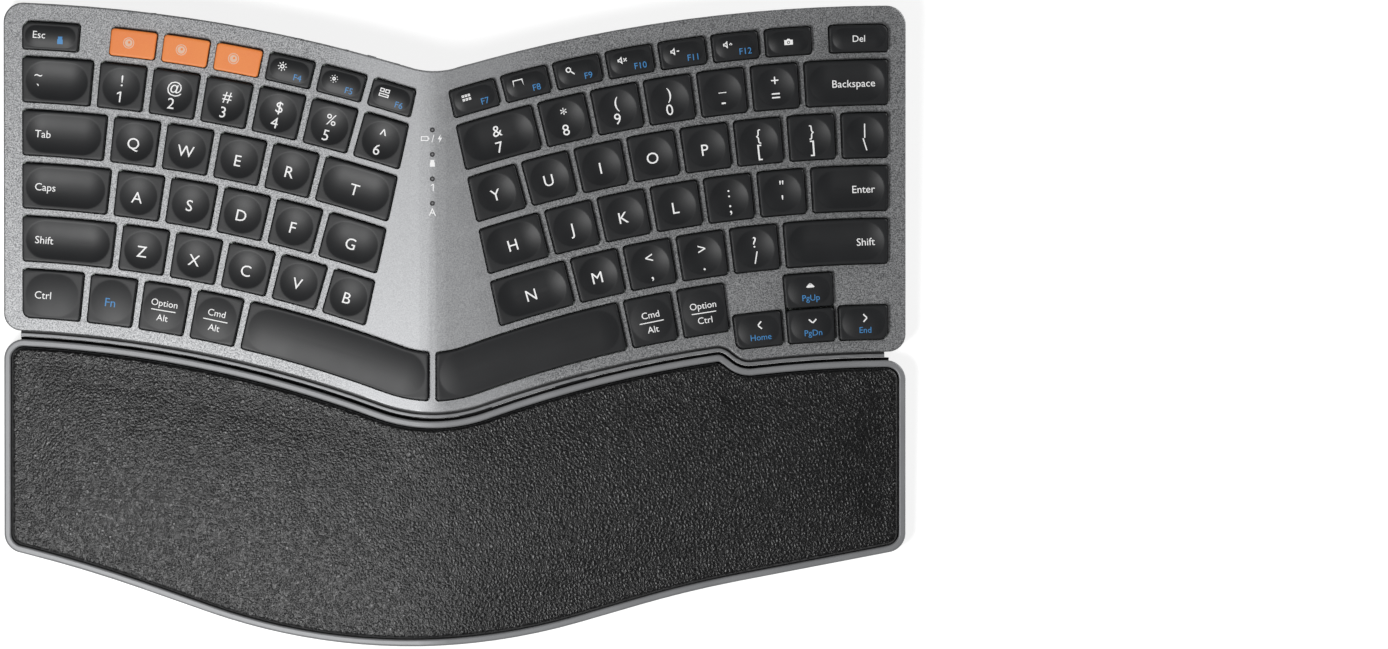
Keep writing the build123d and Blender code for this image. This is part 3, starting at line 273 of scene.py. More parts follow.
@dataclass(frozen=True)
class PlasticFinish:
    """Moulded plastic with a fine spark-eroded grain."""

    name: str
    colour: Colour
    roughness: float = 0.5
    grain: float = 0.25
    relief: float = 0.012
    metallic: float = 0.0
    specular: float = 0.5

    def make(self) -> bpy.types.Material:
        """Build the plastic: the grain lifts the surface and shades its colour a little."""
        sheet = ShaderSheet(self.name)
        grain = sheet.noise(self.grain, 2.0)
        cloud = sheet.noise(18.0, 2.0)
        lighter = tuple(min(value * 1.22 + 0.002, 1) for value in self.colour)
        tone = sheet.blend((grain * 0.5 + cloud * 0.5).between(0.3, 0.7), self.colour, lighter)
        return sheet.finish({"Base Color": tone, "Metallic": self.metallic, "Specular IOR Level": self.specular,
                             "Roughness": self.roughness - 0.05 + cloud * 0.1,
                             "Normal": sheet.bump(grain, self.relief)})


@dataclass(frozen=True)
class MetalFinish:
    """Bare or plated metal, brushed along one axis."""

    name: str
    colour: Colour
    roughness: float = 0.3
    brush: tuple[float, float, float] = (0.12, 1.0, 1.0)

    def make(self) -> bpy.types.Material:
        """Build the metal: long fine streaks shade its colour and roughness."""
        sheet = ShaderSheet(self.name)
        streaks = sheet.noise(0.3, 2.0, self.brush)
        darker = tuple(value * 0.72 for value in self.colour)
        return sheet.finish({"Base Color": sheet.blend(streaks.between(0.3, 0.7), darker, self.colour),
                             "Metallic": 1.0, "Roughness": self.roughness - 0.06 + streaks * 0.12,
                             "Normal": sheet.bump(streaks, 0.004, 0.5)})


@dataclass(frozen=True)
class LeatherFinish:
    """Black imitation leather: raised pebbles with fine creases between them."""

    name: str = "leather"
    colour: Colour = linear(14, 14, 16)
    # Colour of the painted shade down in the creases.
    crease_shade: Colour = linear(3, 3, 4)
    pebble: float = 1.35

    def make(self) -> bpy.types.Material:
        """Build the leather: the distance to the cells' borders gives pebbles, and noise breaks them up."""
        sheet = ShaderSheet(self.name)
        edge = sheet.cells(self.pebble, "DISTANCE_TO_EDGE").between(0.0, 0.42)
        small = sheet.cells(self.pebble / 2.1, "DISTANCE_TO_EDGE").between(0.0, 0.4)
        swell = sheet.noise(self.pebble * 1.6, 3.0)
        height = edge * 0.5 + small * 0.2 + swell * 0.3
        # Painted shade: the colour darkens down into the low creases between the pebbles.
        tone = sheet.blend(height.between(0.15, 0.8), self.crease_shade, self.colour)
        return sheet.finish({"Base Color": tone, "Roughness": 0.4 - height * 0.1,
                             "Normal": sheet.bump(height, 0.24)})


@dataclass(frozen=True)
class RubberFinish:
    """Soft rubber with a dusty skin."""

    name: str
    colour: Colour

    def make(self) -> bpy.types.Material:
        """Build the rubber."""
        sheet = ShaderSheet(self.name)
        dust = sheet.noise(2.2, 4.0)
        lighter = tuple(value * 1.5 + 0.004 for value in self.colour)
        return sheet.finish({"Base Color": sheet.blend(dust.between(0.4, 0.75), self.colour, lighter),
                             "Roughness": 0.78 + dust * 0.12, "Normal": sheet.bump(dust, 0.02)})


@dataclass(frozen=True)
class BoardFinish:
    """Circuit board: green lacquer over tracks, with black chips standing on it."""

    name: str
    lacquer: Colour = linear(18, 84, 52)
    track: Colour = linear(34, 120, 74)
    chip: Colour = linear(24, 24, 26)
    board_top: float = 13.25

    def make(self) -> bpy.types.Material:
        """Build the board: square cells make tracks, and what rises above the board's top is chip plastic."""
        sheet = ShaderSheet(self.name)
        lines = sheet.out("ShaderNodeTexVoronoi", {"distance": "CHEBYCHEV", "feature": "F1"},
                          {"Vector": sheet.place, "Scale": 1 / (2.4 * MM), "Randomness": 0.35}, "Distance")
        tracks = (lines * 6.0).between(1.9, 2.1)
        raised = sheet.axis("Z").between(self.board_top * MM, (self.board_top + 0.05) * MM)
        tone = sheet.blend(raised, sheet.blend(tracks, self.lacquer, self.track), self.chip)
        return sheet.finish({"Base Color": tone, "Roughness": 0.35 + raised * 0.25,
                             "Normal": sheet.bump(tracks, 0.03)})


@dataclass(frozen=True)
class LampFinish:
    """Light pipe: a dark ring round a paler frosted core."""

    name: str
    split: float
    places: tuple[float, ...]
    ring: Colour = linear(34, 34, 36)
    core: Colour = linear(120, 120, 122)
    core_radius: float = 0.36

    def make(self) -> bpy.types.Material:
        """Build the pipe: the distance in plan to the nearest pipe's axis tells the core from the ring."""
        sheet = ShaderSheet(self.name)
        across = (sheet.axis("X") - self.split * MM) ** 2.0
        nearest = None
        for place in self.places:
            reach = across + (sheet.axis("Y") - place * MM) * (sheet.axis("Y") - place * MM)
            nearest = reach if nearest is None else sheet.out("ShaderNodeMath", {"operation": "MINIMUM"},
                                                              {0: nearest, 1: reach})
        core = 1 - (nearest ** 0.5).between((self.core_radius - 0.08) * MM, (self.core_radius + 0.08) * MM)
        haze = sheet.noise(0.2, 1.0)
        return sheet.finish({"Base Color": sheet.blend(core, self.ring, self.core), "Roughness": 0.35 + haze * 0.1,
                             "Normal": sheet.bump(haze, 0.01)})


@dataclass(frozen=True)
class InkFinish:
    """Printed or lasered legends: each face's own number picks white, blue or faint ink."""

    name: str = "legend_ink"
    white: Colour = linear(240, 240, 240)
    blue: Colour = linear(62, 132, 190)
    faint: Colour = linear(222, 184, 158)
    # Strength of the ink's painted glow.
    glow: float = 0.2

    def make(self) -> bpy.types.Material:
        """Build the ink, a touch uneven as print is, with a faint painted glow that lifts it over what the lamps give.
        """
        sheet = ShaderSheet(self.name)
        kind = sheet.attribute("ink")
        wear = sheet.noise(0.35, 2.0).between(0.2, 0.8)
        tone = sheet.blend(kind.between(0.4, 0.6), self.white, self.blue)
        tone = sheet.blend(kind.between(1.4, 1.6), tone, self.faint)
        dull = sheet.node("ShaderNodeMix", {"data_type": "RGBA", "blend_type": "MULTIPLY"},
                          {"Factor": 0.12 - wear * 0.12, 6: tone, 7: (0.5, 0.5, 0.5)}).outputs[2]
        # Painted light: the ink glows a little though it is no lamp.
        return sheet.finish({"Base Color": dull, "Roughness": 0.5 + wear * 0.1, "Emission Color": dull,
                             "Emission Strength": self.glow})


# Meshes


class Mesh:
    """Vertices and faces that grow piece by piece and end as one Blender object."""

    def __init__(self) -> None:
        """Start empty."""
        self.points: list[np.ndarray] = []
        self.faces: list[tuple[int, ...]] = []
        self.inks: list[float] = []
        self.count = 0

    def add(self, points: np.ndarray, faces: Sequence[Sequence[int]], ink: float = 0.0) -> None:
        """Add a shell.

        Args:
            points: Places of its vertices in metres, one row each.
            faces: Vertex numbers of each face, from 0 within this shell.
            ink: Number that its faces carry for the legend ink.
        """
        shift = self.count
        self.points.append(points)
        self.faces += [tuple(int(i) + shift for i in face) for face in faces]
        self.inks += [ink] * len(faces)
        self.count += len(points)

    def add_rings(self, rings: Sequence[np.ndarray]) -> None:
        """Add a closed shell whose rings have the same number of points each; the first and last are filled.

        Vertex j of ring i joins its neighbour j + 1 and the same two vertices of ring i + 1 in one quad. The rings
        run counter-clockwise seen from where the stack ends, so that faces point outwards.
        """
        size = len(rings[0])
        row, column = np.meshgrid(np.arange(len(rings) - 1), np.arange(size), indexing="ij")
        after = (column + 1) % size
        quads = np.stack((row * size + column, row * size + after, (row + 1) * size + after,
                          (row + 1) * size + column), axis=-1).reshape(-1, 4)
        last = (len(rings) - 1) * size
        faces = [tuple(quad) for quad in quads.tolist()]
        faces.append(tuple(range(size - 1, -1, -1)))
        faces.append(tuple(range(last, last + size)))
        self.add(np.concatenate(rings), faces)

    def build(self, name: str, material: bpy.types.Material, sharp: float = 40.0) -> bpy.types.Object:
        """Make the object.

        Args:
            name: Name of the piece.
            material: Its finish.
            sharp: Angle in degrees past which an edge is shaded sharp.

        Returns:
            The object, at the origin, with its place in its mesh.
        """
        mesh = bpy.data.meshes.new(name)
        mesh.from_pydata(np.concatenate(self.points), [], self.faces)
        if any(self.inks):
            mesh.attributes.new("ink", "FLOAT", "FACE").data.foreach_set("value", np.array(self.inks, np.float32))
        mesh.validate()
        mesh.polygons.foreach_set("use_smooth", np.ones(len(mesh.polygons), bool))
        mesh.set_sharp_from_angle(angle=radians(sharp))
        mesh.materials.append(material)
        made = bpy.data.objects.new(name, mesh)
        bpy.context.scene.collection.objects.link(made)
        return made


def fit_piece(piece: bpy.types.Object, body: str, replaced: Sequence[str] = ()) -> None:
    """Let a finished piece ride on its body and stand for its CAD nodes.

    Args:
        piece: The finished piece.
        body: Name of the CAD body that it moves with.
        replaced: CAD nodes that it stands for.
    """
    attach(piece, body)
    if replaced:
        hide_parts(*replaced)
    log.info("%s rides on %s", piece.name, body)


# Layout of the board

SPLIT_X = -7.8
KEY_PITCH = 19.1
WEB = 1.95
RIM_INSET = 0.3
DISH_MARGIN = 1.25
MOUND_MARGIN = 1.1
WELL_ROUND = 1.3
BOARD_CORNER_ROUND = 3.0
LEAST_ROUND = 0.25


@dataclass(frozen=True)
class Half:
    """One half of the board: its flat deck and the centre of its rows' arcs.

    Deck places are millimetres. `u` grows from the split line to the outside on either half, `v` to the rear, and z
    out of the deck. `reach` is the half's width in plan, `border` the metal beside its outermost wells, and
    `arc_reach` and `arc_v` place the centre of the arcs.
    """

    side: int
    reach: float
    border: float
    arc_reach: float
    arc_v: float
    ridge_height: float = 25.5
    tent: float = radians(4.5)
    slope: float = radians(2.0)

    @property
    def stretch(self) -> float:
        """Length on the deck of one millimetre in plan."""
        return 1 / cos(self.tent)

    @property
    def centre_u(self) -> float:
        """Distance on the deck from the split line to the centre of the arcs."""
        return self.arc_reach * self.stretch

    @property
    def key_line(self) -> float:
        """Distance on the deck from the split line to the outermost wells' sides."""
        return (self.reach - self.border) * self.stretch

    def place(self, u: np.ndarray, v: np.ndarray, z: np.ndarray | float) -> np.ndarray:
        """Places in the frame of points on the deck.

        The deck turns about the split line by the tent angle and about the X axis by the slope: across = u cos t +
        z sin t to the outside and up = z cos t - u sin t, then y = v cos s - up sin s and height = v sin s + up cos s.

        Args:
            u: Distances from the split line.
            v: Distances to the rear.
            z: Heights over the deck.

        Returns:
            One row of three metres for each point.
        """
        across = u * cos(self.tent) + z * sin(self.tent)
        up = z * cos(self.tent) - u * sin(self.tent)
        y = v * cos(self.slope) - up * sin(self.slope)
        height = self.ridge_height + v * sin(self.slope) + up * cos(self.slope)
        return np.column_stack((SPLIT_X + self.side * across, y, height)) * MM


LEFT = Half(-1, 154.1, 6.65, 169.2, -440.35)
RIGHT = Half(1, 169.7, 6.3, 165.3, -441.85)
RIDGE_RADIUS = 60.0


def deck_height(x: np.ndarray, y: np.ndarray, radius: float = RIDGE_RADIUS) -> np.ndarray:
    """Height of the board's top over the floor, carried on past its edges: two slopes with a rounded ridge.

    Beside the ridge the top drops by side tan t. On it the drop is that of a circle of the ridge's radius R whose
    top is R / cos t - R under the corner of the two slopes.

    Args:
        x: Places across the board, in millimetres.
        y: Places to the rear.
        radius: Radius of the ridge.

    Returns:
        Heights in millimetres.
    """
    side = np.abs(x - SPLIT_X)
    tent, slope = LEFT.tent, LEFT.slope
    round_drop = radius / cos(tent) - np.sqrt(np.maximum(radius ** 2 - side ** 2, 0))
    drop = np.where(side > radius * sin(tent), side * tan(tent), round_drop)
    return LEFT.ridge_height + y * tan(slope) - drop / cos(slope)


def border_steps(kept: Sequence[bmesh.types.BMFace]) -> dict[int, list[int]]:
    """Vertices that follow each vertex along the borders of the kept faces."""
    members = {face.index for face in kept}
    following: dict[int, list[int]] = {}
    for face in kept:
        for loop in face.loops:
            if not any(other.index in members for other in loop.edge.link_faces if other is not face):
                following.setdefault(loop.vert.index, []).append(loop.link_loop_next.vert.index)
    return following


def without_sharp_turns(points: np.ndarray, least_cosine: float, rounds: int = 6) -> np.ndarray:
    """Closed outline less the points at which the cosine of the turn isn't over a least value, in several rounds."""
    for _ in range(rounds):
        before, after = points - np.roll(points, 1, axis=0), np.roll(points, -1, axis=0) - points
        size = np.hypot(*before.T) * np.hypot(*after.T)
        points = points[(before * after).sum(axis=1) > least_cosine * size]
    return points


def node_outline(node: str, keep: Callable, least_cosine: float = -0.3) -> np.ndarray:
    """Plan of part of a CAD node: the loop of edges round the faces that are kept.

    The walk starts at the leftmost vertex and takes, wherever edges fork, the one that turns most to the outside.
    Points where it turns too sharply are dropped.

    Args:
        node: Name of the node.
        keep: Function that tells from a face whether it belongs to the part.
        least_cosine: Least cosine of the turn at a point that stays.

    Returns:
        Points x, y in millimetres, in order round the part, counter-clockwise.
    """
    net = bmesh.new()
    net.from_mesh(frame["nodes"][node].data)
    bmesh.ops.remove_doubles(net, verts=net.verts, dist=1e-6)
    net.normal_update()
    kept = [face for face in net.faces if keep(face)]
    facing = 1 if kept[0].normal.z > 0 else -1
    following = border_steps(kept)
    places = np.array([tuple(vert.co)[:2] for vert in net.verts]) / MM
    net.free()
    start = min(following, key=lambda vert: tuple(places[vert].round(3)))
    chain, heading = [start], -pi / 2 * facing

    def turn(vert: int) -> float:
        """Turn to the inside that the next edge makes if it goes to a vertex."""
        run = places[vert] - places[chain[-1]]
        return ((atan2(run[1], run[0]) - heading) * facing + pi) % (2 * pi)

    while len(chain) < 2 or chain[-1] != start:
        after = min(following[chain[-1]], key=turn)
        following[chain[-1]].remove(after)
        run = places[after] - places[chain[-1]]
        heading = atan2(run[1], run[0])
        chain.append(after)
    return without_sharp_turns(places[chain[:-1]][::facing], least_cosine)


def front_and_rear(points: np.ndarray) -> tuple[np.ndarray, np.ndarray]:
    """Front and rear chain of an outline between its leftmost and rightmost sides, both from left to right."""
    low_left = np.lexsort((points[:, 1], np.round(points[:, 0], 2)))[0]
    points = np.roll(points, -low_left, axis=0)
    right = np.round(points[:, 0], 2) == np.round(points[:, 0].max(), 2)
    first_right, last_right = np.flatnonzero(right)[[0, -1]]
    front, rear = points[:first_right + 1], np.vstack((points[last_right:], points[:1]))[::-1]
    left_top = np.round(rear[:, 0], 2) == np.round(points[0, 0], 2)
    return front, rear[np.flatnonzero(left_top)[-1]:]


class Crown(Enum):
    """How the top of a keycap is shaped."""

    DISH = "dish"
    MOUND = "mound"
    FLAT = "flat"
    BAR = "bar"


@dataclass(frozen=True)
class RadialEdge:
    """Side of a key that points at the centre of the arcs, `place` millimetres along the row's middle arc."""

    place: float
    row_radius: float

    def cross(self, half: Half, radius: float, shift: float) -> tuple[float, float]:
        """Where the side crosses an arc after a shift towards the outside, as u and v."""
        angle = self.turn(radius, shift)
        return half.centre_u - radius * sin(angle), half.arc_v + radius * cos(angle)

    def turn(self, radius: float, shift: float) -> float:
        """Angle of the side's outward normal from the u axis."""
        return self.place / self.row_radius - shift / radius


@dataclass(frozen=True)
class StraightEdge:
    """Straight side of a key: `foot` from the split line, leaning towards it by `lean` for each unit to the rear."""

    foot: float
    lean: float = 0.0

    def cross(self, half: Half, radius: float, shift: float) -> tuple[float, float]:
        """Where the side crosses an arc after a shift towards the outside, as u and v."""
        foot = self.foot + shift * hypot(1, self.lean)
        start = foot - half.centre_u
        middle = start * self.lean + half.arc_v
        spread = 1 + self.lean ** 2
        v = (middle + sqrt(middle ** 2 - spread * (start ** 2 + half.arc_v ** 2 - radius ** 2))) / spread
        return foot - self.lean * v, v

    def turn(self, radius: float, shift: float) -> float:
        """Angle of the side's outward normal from the u axis."""
        return atan(self.lean)


@dataclass(frozen=True)
class Key:
    """One keycap: its outline on the deck, its top and its legends' frame.

    `board_corner` numbers the corner that lies at a corner or the notch of the board and is rounded more than the
    others: 0 is outer rear, 1 inner rear, 2 inner front, 3 outer front, and -1 none.
    """

    name: str
    node: str
    half: Half
    rear: float
    front: float
    outer: RadialEdge | StraightEdge
    inner: RadialEdge | StraightEdge
    crown: Crown
    board_corner: int = -1

    @property
    def middle_radius(self) -> float:
        """Radius of the arc through the key's middle."""
        return (self.rear + self.front) / 2

    @property
    def depth(self) -> float:
        """Size of the well from front to rear."""
        return self.rear - self.front

    def span(self) -> tuple[float, float]:
        """Angles of the middle arc at the outer and the inner side."""
        ends = []
        for edge in (self.outer, self.inner):
            u, v = edge.cross(self.half, self.middle_radius, 0)
            ends.append(atan2(self.half.centre_u - u, v - self.half.arc_v))
        return ends[0], ends[1]

    def middle(self) -> tuple[float, float, float]:
        """Middle of the key as u and v, and the angle that its row has turned by there."""
        angle = sum(self.span()) / 2
        radius = self.middle_radius
        return self.half.centre_u - radius * sin(angle), self.half.arc_v + radius * cos(angle), angle

    def width(self) -> float:
        """Size of the well along the row."""
        first, last = (edge.cross(self.half, self.middle_radius, 0) for edge in (self.outer, self.inner))
        return hypot(first[0] - last[0], first[1] - last[1])

    def curve(self, radius: float, u: np.ndarray) -> np.ndarray:
        """Places v of a row's arc over places u: the arc's centre plus the height of a circle of that radius."""
        return self.half.arc_v + np.sqrt(radius ** 2 - (u - self.half.centre_u) ** 2)

    def curve_turn(self, radius: float, u: float) -> float:
        """Angle that an arc has turned by at a place u."""
        return atan2(self.half.centre_u - u, float(self.curve(radius, np.array(u))) - self.half.arc_v)

    def corner(self, edge: RadialEdge | StraightEdge, radius: float, shift: float) -> tuple[float, float]:
        """Where a shifted side crosses a row's arc, as u and v."""
        return edge.cross(self.half, radius, shift)

    def outline(self, inset: float) -> tuple[np.ndarray, np.ndarray]:
        """Outline of the key drawn in by an inset, as u and v of points that run counter-clockwise.

        Each corner is an arc about a point that lies inset + radius inside both of its sides, and the front and
        rear sides follow the row's arcs between the corners. Every inset gives the same number of points.

        Args:
            inset: Distance from the well's edge.

        Returns:
            Places u and places v.
        """
        steps = np.linspace(0, 1, 6)
        half = self.half
        us: list[np.ndarray] = []
        vs: list[np.ndarray] = []
        centres = []
        for count, (edge, rearward) in enumerate(((self.outer, True), (self.inner, True), (self.inner, False),
                                                  (self.outer, False))):
            well_round = BOARD_CORNER_ROUND if count == self.board_corner else WELL_ROUND
            corner = max(well_round - inset / 2, LEAST_ROUND)
            radius = self.rear - inset - corner if rearward else self.front + inset + corner
            shift = (inset + corner) * (-1 if count in (0, 3) else 1)
            centres.append((*self.corner(edge, radius, shift), corner, radius, edge.turn(radius, shift)))
        samples = max(int(self.width() / 2), 5)
        for count, (u, v, corner, radius, side_turn) in enumerate(centres):
            row_turn = self.curve_turn(radius, u)
            start, end = ((side_turn, pi / 2 + row_turn), (pi / 2 + row_turn, pi + side_turn),
                          (pi + side_turn, 3 * pi / 2 + row_turn), (3 * pi / 2 + row_turn, 2 * pi + side_turn))[count]
            angles = start + (end - start) * steps
            us.append(u + corner * np.cos(angles))
            vs.append(v + corner * np.sin(angles))
            if count in (0, 2):
                row = self.rear - inset if count == 0 else self.front + inset
                following = centres[count + 1]
                following_turn = self.curve_turn(following[3], following[0])
                sign = 1 if count == 0 else -1
                first = us[-1][-1]
                last = following[0] - sign * following[2] * sin(following_turn)
                between = np.linspace(first, last, samples + 1)[1:-1]
                us.append(between)
                vs.append(self.curve(row, between))
            else:
                following = centres[(count + 1) % 4]
                angle = following[4] + (pi if count == 1 else 0)
                last = (following[0] + following[2] * cos(angle), following[1] + following[2] * sin(angle))
                part = np.linspace(0, 1, 8)[1:-1]
                us.append(us[-1][-1] + (last[0] - us[-1][-1]) * part)
                vs.append(vs[-1][-1] + (last[1] - vs[-1][-1]) * part)
        return np.concatenate(us), np.concatenate(vs)

    def local(self, u: np.ndarray, v: np.ndarray) -> tuple[np.ndarray, np.ndarray]:
        """Places along and across the key from its middle: the key's frame is turned as its row is."""
        mid_u, mid_v, turn = self.middle()
        return ((u - mid_u) * cos(turn) + (v - mid_v) * sin(turn), (v - mid_v) * cos(turn) - (u - mid_u) * sin(turn))

    def unlocal(self, s: np.ndarray, t: np.ndarray) -> tuple[np.ndarray, np.ndarray]:
        """Places u and v of points given along and across the key."""
        mid_u, mid_v, turn = self.middle()
        return mid_u + s * cos(turn) - t * sin(turn), mid_v + s * sin(turn) + t * cos(turn)

    def crown_size(self) -> tuple[float, float]:
        """Radius of the dish or mound, and half of the straight part between its round ends."""
        margin = RIM_INSET + (DISH_MARGIN if self.crown is Crown.DISH else MOUND_MARGIN)
        radius = self.depth / 2 - margin
        straight = self.width() - 2 * margin - 2 * radius
        return radius, max(straight, 0) / 2 if straight > KEY_PITCH / 10 else 0.0

    def spine(self, s: np.ndarray) -> np.ndarray:
        """Nearest place along the crown's middle line: s held between the ends of the straight part."""
        straight = self.crown_size()[1]
        return np.clip(s, -straight, straight)


@dataclass(frozen=True)
class SpaceBar(Key):
    """A space bar, which follows its row's arc and then the rounding at the split line."""

    tip_round: float = 54.0
    front_radius: float = 438.7

    @property
    def tip_v(self) -> float:
        """Place v on the split line of the rounding's centre, tangent to the front edge's arc."""
        return self.half.arc_v + sqrt((self.front_radius + self.tip_round) ** 2 - self.half.centre_u ** 2)

    @property
    def reach(self) -> float:
        """Distance between the arc's centre and the rounding's."""
        return hypot(self.half.centre_u, self.tip_v - self.half.arc_v)

    def curve(self, radius: float, u: np.ndarray) -> np.ndarray:
        """Places v of a row's arc over places u, with the rounding nearer to the split line than the tangent."""
        tangent = self.half.centre_u * (1 - radius / self.reach)
        arc = self.half.arc_v + np.sqrt(radius ** 2 - (u - self.half.centre_u) ** 2)
        tip = self.tip_v - np.sqrt(np.maximum((self.reach - radius) ** 2 - u ** 2, 0))
        return np.where(u < tangent, tip, arc)

    def corner(self, edge: RadialEdge | StraightEdge, radius: float, shift: float) -> tuple[float, float]:
        """Where a shifted side crosses the row's arc, or the rounding beside the split line, as u and v."""
        if isinstance(edge, RadialEdge):
            return edge.cross(self.half, radius, shift)
        u = edge.foot + shift
        return u, float(self.curve(radius, np.array(u)))

    def curve_turn(self, radius: float, u: float) -> float:
        """Angle that the arc, or the rounding, has turned by at a place u."""
        if u < self.half.centre_u * (1 - radius / self.reach):
            return atan2(u, self.tip_v - float(self.curve(radius, np.array(u))))
        return Key.curve_turn(self, radius, u)

    def bend(self) -> tuple[float, float]:
        """Angle of the line between both centres, and the length along the middle arc from the bar's middle."""
        angle = atan2(self.half.centre_u, self.tip_v - self.half.arc_v)
        return angle, (angle - self.span()[0]) * self.middle_radius - self.bar_length() / 2

    def bar_length(self) -> float:
        """Length along the middle line, from the outer side to the side at the split line."""
        angle = atan2(self.half.centre_u, self.tip_v - self.half.arc_v)
        tip_radius = self.reach - self.middle_radius
        tip_angle = angle - np.arcsin(self.inner.foot / tip_radius)
        return (angle - self.span()[0]) * self.middle_radius + float(tip_angle) * tip_radius

    def local(self, u: np.ndarray, v: np.ndarray) -> tuple[np.ndarray, np.ndarray]:
        """Places along and across the bar's bent middle line, from its middle, growing towards the outside."""
        angle, turn_s = self.bend()
        arc_angle = np.arctan2(self.half.centre_u - u, v - self.half.arc_v)
        arc_s = (arc_angle - angle) * self.middle_radius + turn_s
        arc_t = np.hypot(self.half.centre_u - u, v - self.half.arc_v) - self.middle_radius
        tip_angle = np.arctan2(u, self.tip_v - v)
        tip_radius = self.reach - self.middle_radius
        tip_s = turn_s + (angle - tip_angle) * tip_radius
        tip_t = tip_radius - np.hypot(u, self.tip_v - v)
        return -np.where(arc_angle > angle, tip_s, arc_s), np.where(arc_angle > angle, tip_t, arc_t)

    def unlocal(self, s: np.ndarray, t: np.ndarray) -> tuple[np.ndarray, np.ndarray]:
        """Places u and v of points given along and across the bar's bent middle line."""
        angle, turn_s = self.bend()
        inward = -s
        arc_angle = angle + (inward - turn_s) / self.middle_radius
        arc_u = self.half.centre_u - (self.middle_radius + t) * np.sin(arc_angle)
        arc_v = self.half.arc_v + (self.middle_radius + t) * np.cos(arc_angle)
        tip_radius = self.reach - self.middle_radius
        tip_angle = angle - (inward - turn_s) / tip_radius
        tip_u = (tip_radius - t) * np.sin(tip_angle)
        tip_v = self.tip_v - (tip_radius - t) * np.cos(tip_angle)
        return np.where(inward > turn_s, tip_u, arc_u), np.where(inward > turn_s, tip_v, arc_v)

    def crown_size(self) -> tuple[float, float]:
        """Radius of the long mound's ends, and half of its straight part."""
        margin = RIM_INSET + MOUND_MARGIN
        radius = self.depth / 2 - margin
        return radius, self.bar_length() / 2 - margin - radius


@dataclass
class Layout:
    """Rows of keys of both halves, each row an arc."""

    row_pitch: float = 19.02
    well_depth: float = 16.8
    front_rear: float = 460.85
    front_depth: float = 18.0
    function_gap: float = 2.15
    function_depth: float = 10.45
    notch_front_radius: float = 432.1
    arrow_border: float = 3.7
    arrow_depth: float = 13.0
    arrow_pair_depth: float = 25.4
    arrow_overlap: float = 0.1
    arrow_pair: tuple[float, float] = (1.12, 2.05)
    arrow_left_sides: tuple[float, float] = (2.10, 3.02)
    arrow_right_side: float = 1.05
    escape_end: float = 2.25
    delete_end: float = 1.235
    valley_side: StraightEdge = StraightEdge(23.8, 0.218)
    bar_foot: float = 0.97
    left_starts: Mapping[str, float] = field(default_factory=lambda: {
        "function": 2.81, "number": 2.59, "upper": 2.845, "home": 2.915, "lower": 3.005, "front": 2.40})
    right_starts: Mapping[str, float] = field(default_factory=lambda: {
        "function": 1.545, "number": 1.79, "upper": 1.10, "home": 1.66, "lower": 2.17, "front": 3.155})
    left_names: Mapping[str, str] = field(default_factory=lambda: {
        "function": "- channel_1 channel_2 channel_3 f4 f5 f6", "number": "grave 1 2 3 4 5 6",
        "upper": "tab q w e r t", "home": "caps_lock a s d f g", "lower": "left_shift z x c v b",
        "front": "left_control function_lock left_option left_command -"})
    right_names: Mapping[str, str] = field(default_factory=lambda: {
        "function": "- capture f12 f11 f10 f9 f8 f7", "number": "backspace equals minus 0 9 8 7",
        "upper": "backslash right_bracket left_bracket p o i u y", "home": "enter quote semicolon l k j h",
        "lower": "right_shift slash period comma m n", "front": "- right_option right_command -"})
    punctuation: tuple[str, ...] = ("backslash", "right_bracket", "left_bracket", "quote", "semicolon", "slash",
                                    "period", "comma")

    def radii(self, row: str) -> tuple[float, float]:
        """Rear and front radius of a row."""
        if row == "front":
            return self.front_rear, self.front_rear - self.front_depth
        order = ("front", "lower", "home", "upper", "number", "function")
        if row == "function":
            front = self.radii("number")[0] + self.function_gap
            return front + self.function_depth, front
        rear = self.front_rear + order.index(row) * self.row_pitch
        return rear, rear - self.well_depth

    def node_of(self, name: str, row: str, half: Half) -> str:
        """CAD node that holds a key."""
        side = "left" if half is LEFT else "right"
        if row in ("function", "number"):
            return f"{row}_keys_{side}"
        if name in self.punctuation:
            return "punctuation_keys"
        return f"key_{name}" if len(name) == 1 else f"modifier_keys_{side}"

    def row_keys(self, half: Half, row: str, names: Sequence[str], start: float) -> list[Key]:
        """Keys of one row, from the side of the board to the split line."""
        rear, front = self.radii(row)
        middle = (rear + front) / 2
        outer_name, *plain, inner_name = names

        def key(name: str, outer: RadialEdge | StraightEdge, inner: RadialEdge | StraightEdge) -> Key:
            """Key of this row between two sides."""
            crown = Crown.MOUND if row in ("function", "front") else Crown.DISH
            crown = Crown.FLAT if name.startswith("channel") else crown
            return Key(name, self.node_of(name, row, half), half, rear, front, outer, inner, crown,
                       3 if name == "left_control" else -1)

        keys = []
        if outer_name != "-":
            outer = RadialEdge(start - WEB, middle)
            keys.append(key(outer_name, StraightEdge(half.key_line), outer))
        place = start
        for name in plain:
            keys.append(key(name, RadialEdge(place, middle), RadialEdge(place + KEY_PITCH - WEB, middle)))
            place += KEY_PITCH
        if inner_name != "-":
            keys.append(key(inner_name, RadialEdge(place, middle), self.valley_side))
        if row == "front":
            name = "space_left" if half is LEFT else "space_right"
            keys.append(SpaceBar(name, f"key_{name}", half, rear, front, RadialEdge(place, middle),
                                 StraightEdge(self.bar_foot * half.stretch), Crown.BAR))
        return keys

    def keys(self) -> list[Key]:
        """Every key of the board."""
        made: list[Key] = []
        for half, names, starts in ((LEFT, self.left_names, self.left_starts),
                                    (RIGHT, self.right_names, self.right_starts)):
            for row, row_names in names.items():
                made += self.row_keys(half, row, row_names.split(), starts[row] * KEY_PITCH)
        rear, front = self.radii("function")
        middle = (rear + front) / 2
        made.append(Key("escape", "function_keys_left", LEFT, rear, front, StraightEdge(LEFT.key_line),
                        RadialEdge(self.escape_end * KEY_PITCH, middle), Crown.MOUND, 0))
        made.append(Key("delete", "function_keys_right", RIGHT, rear, front, StraightEdge(RIGHT.key_line),
                        RadialEdge(self.delete_end * KEY_PITCH, middle), Crown.MOUND, 0))
        return made + self.arrows()

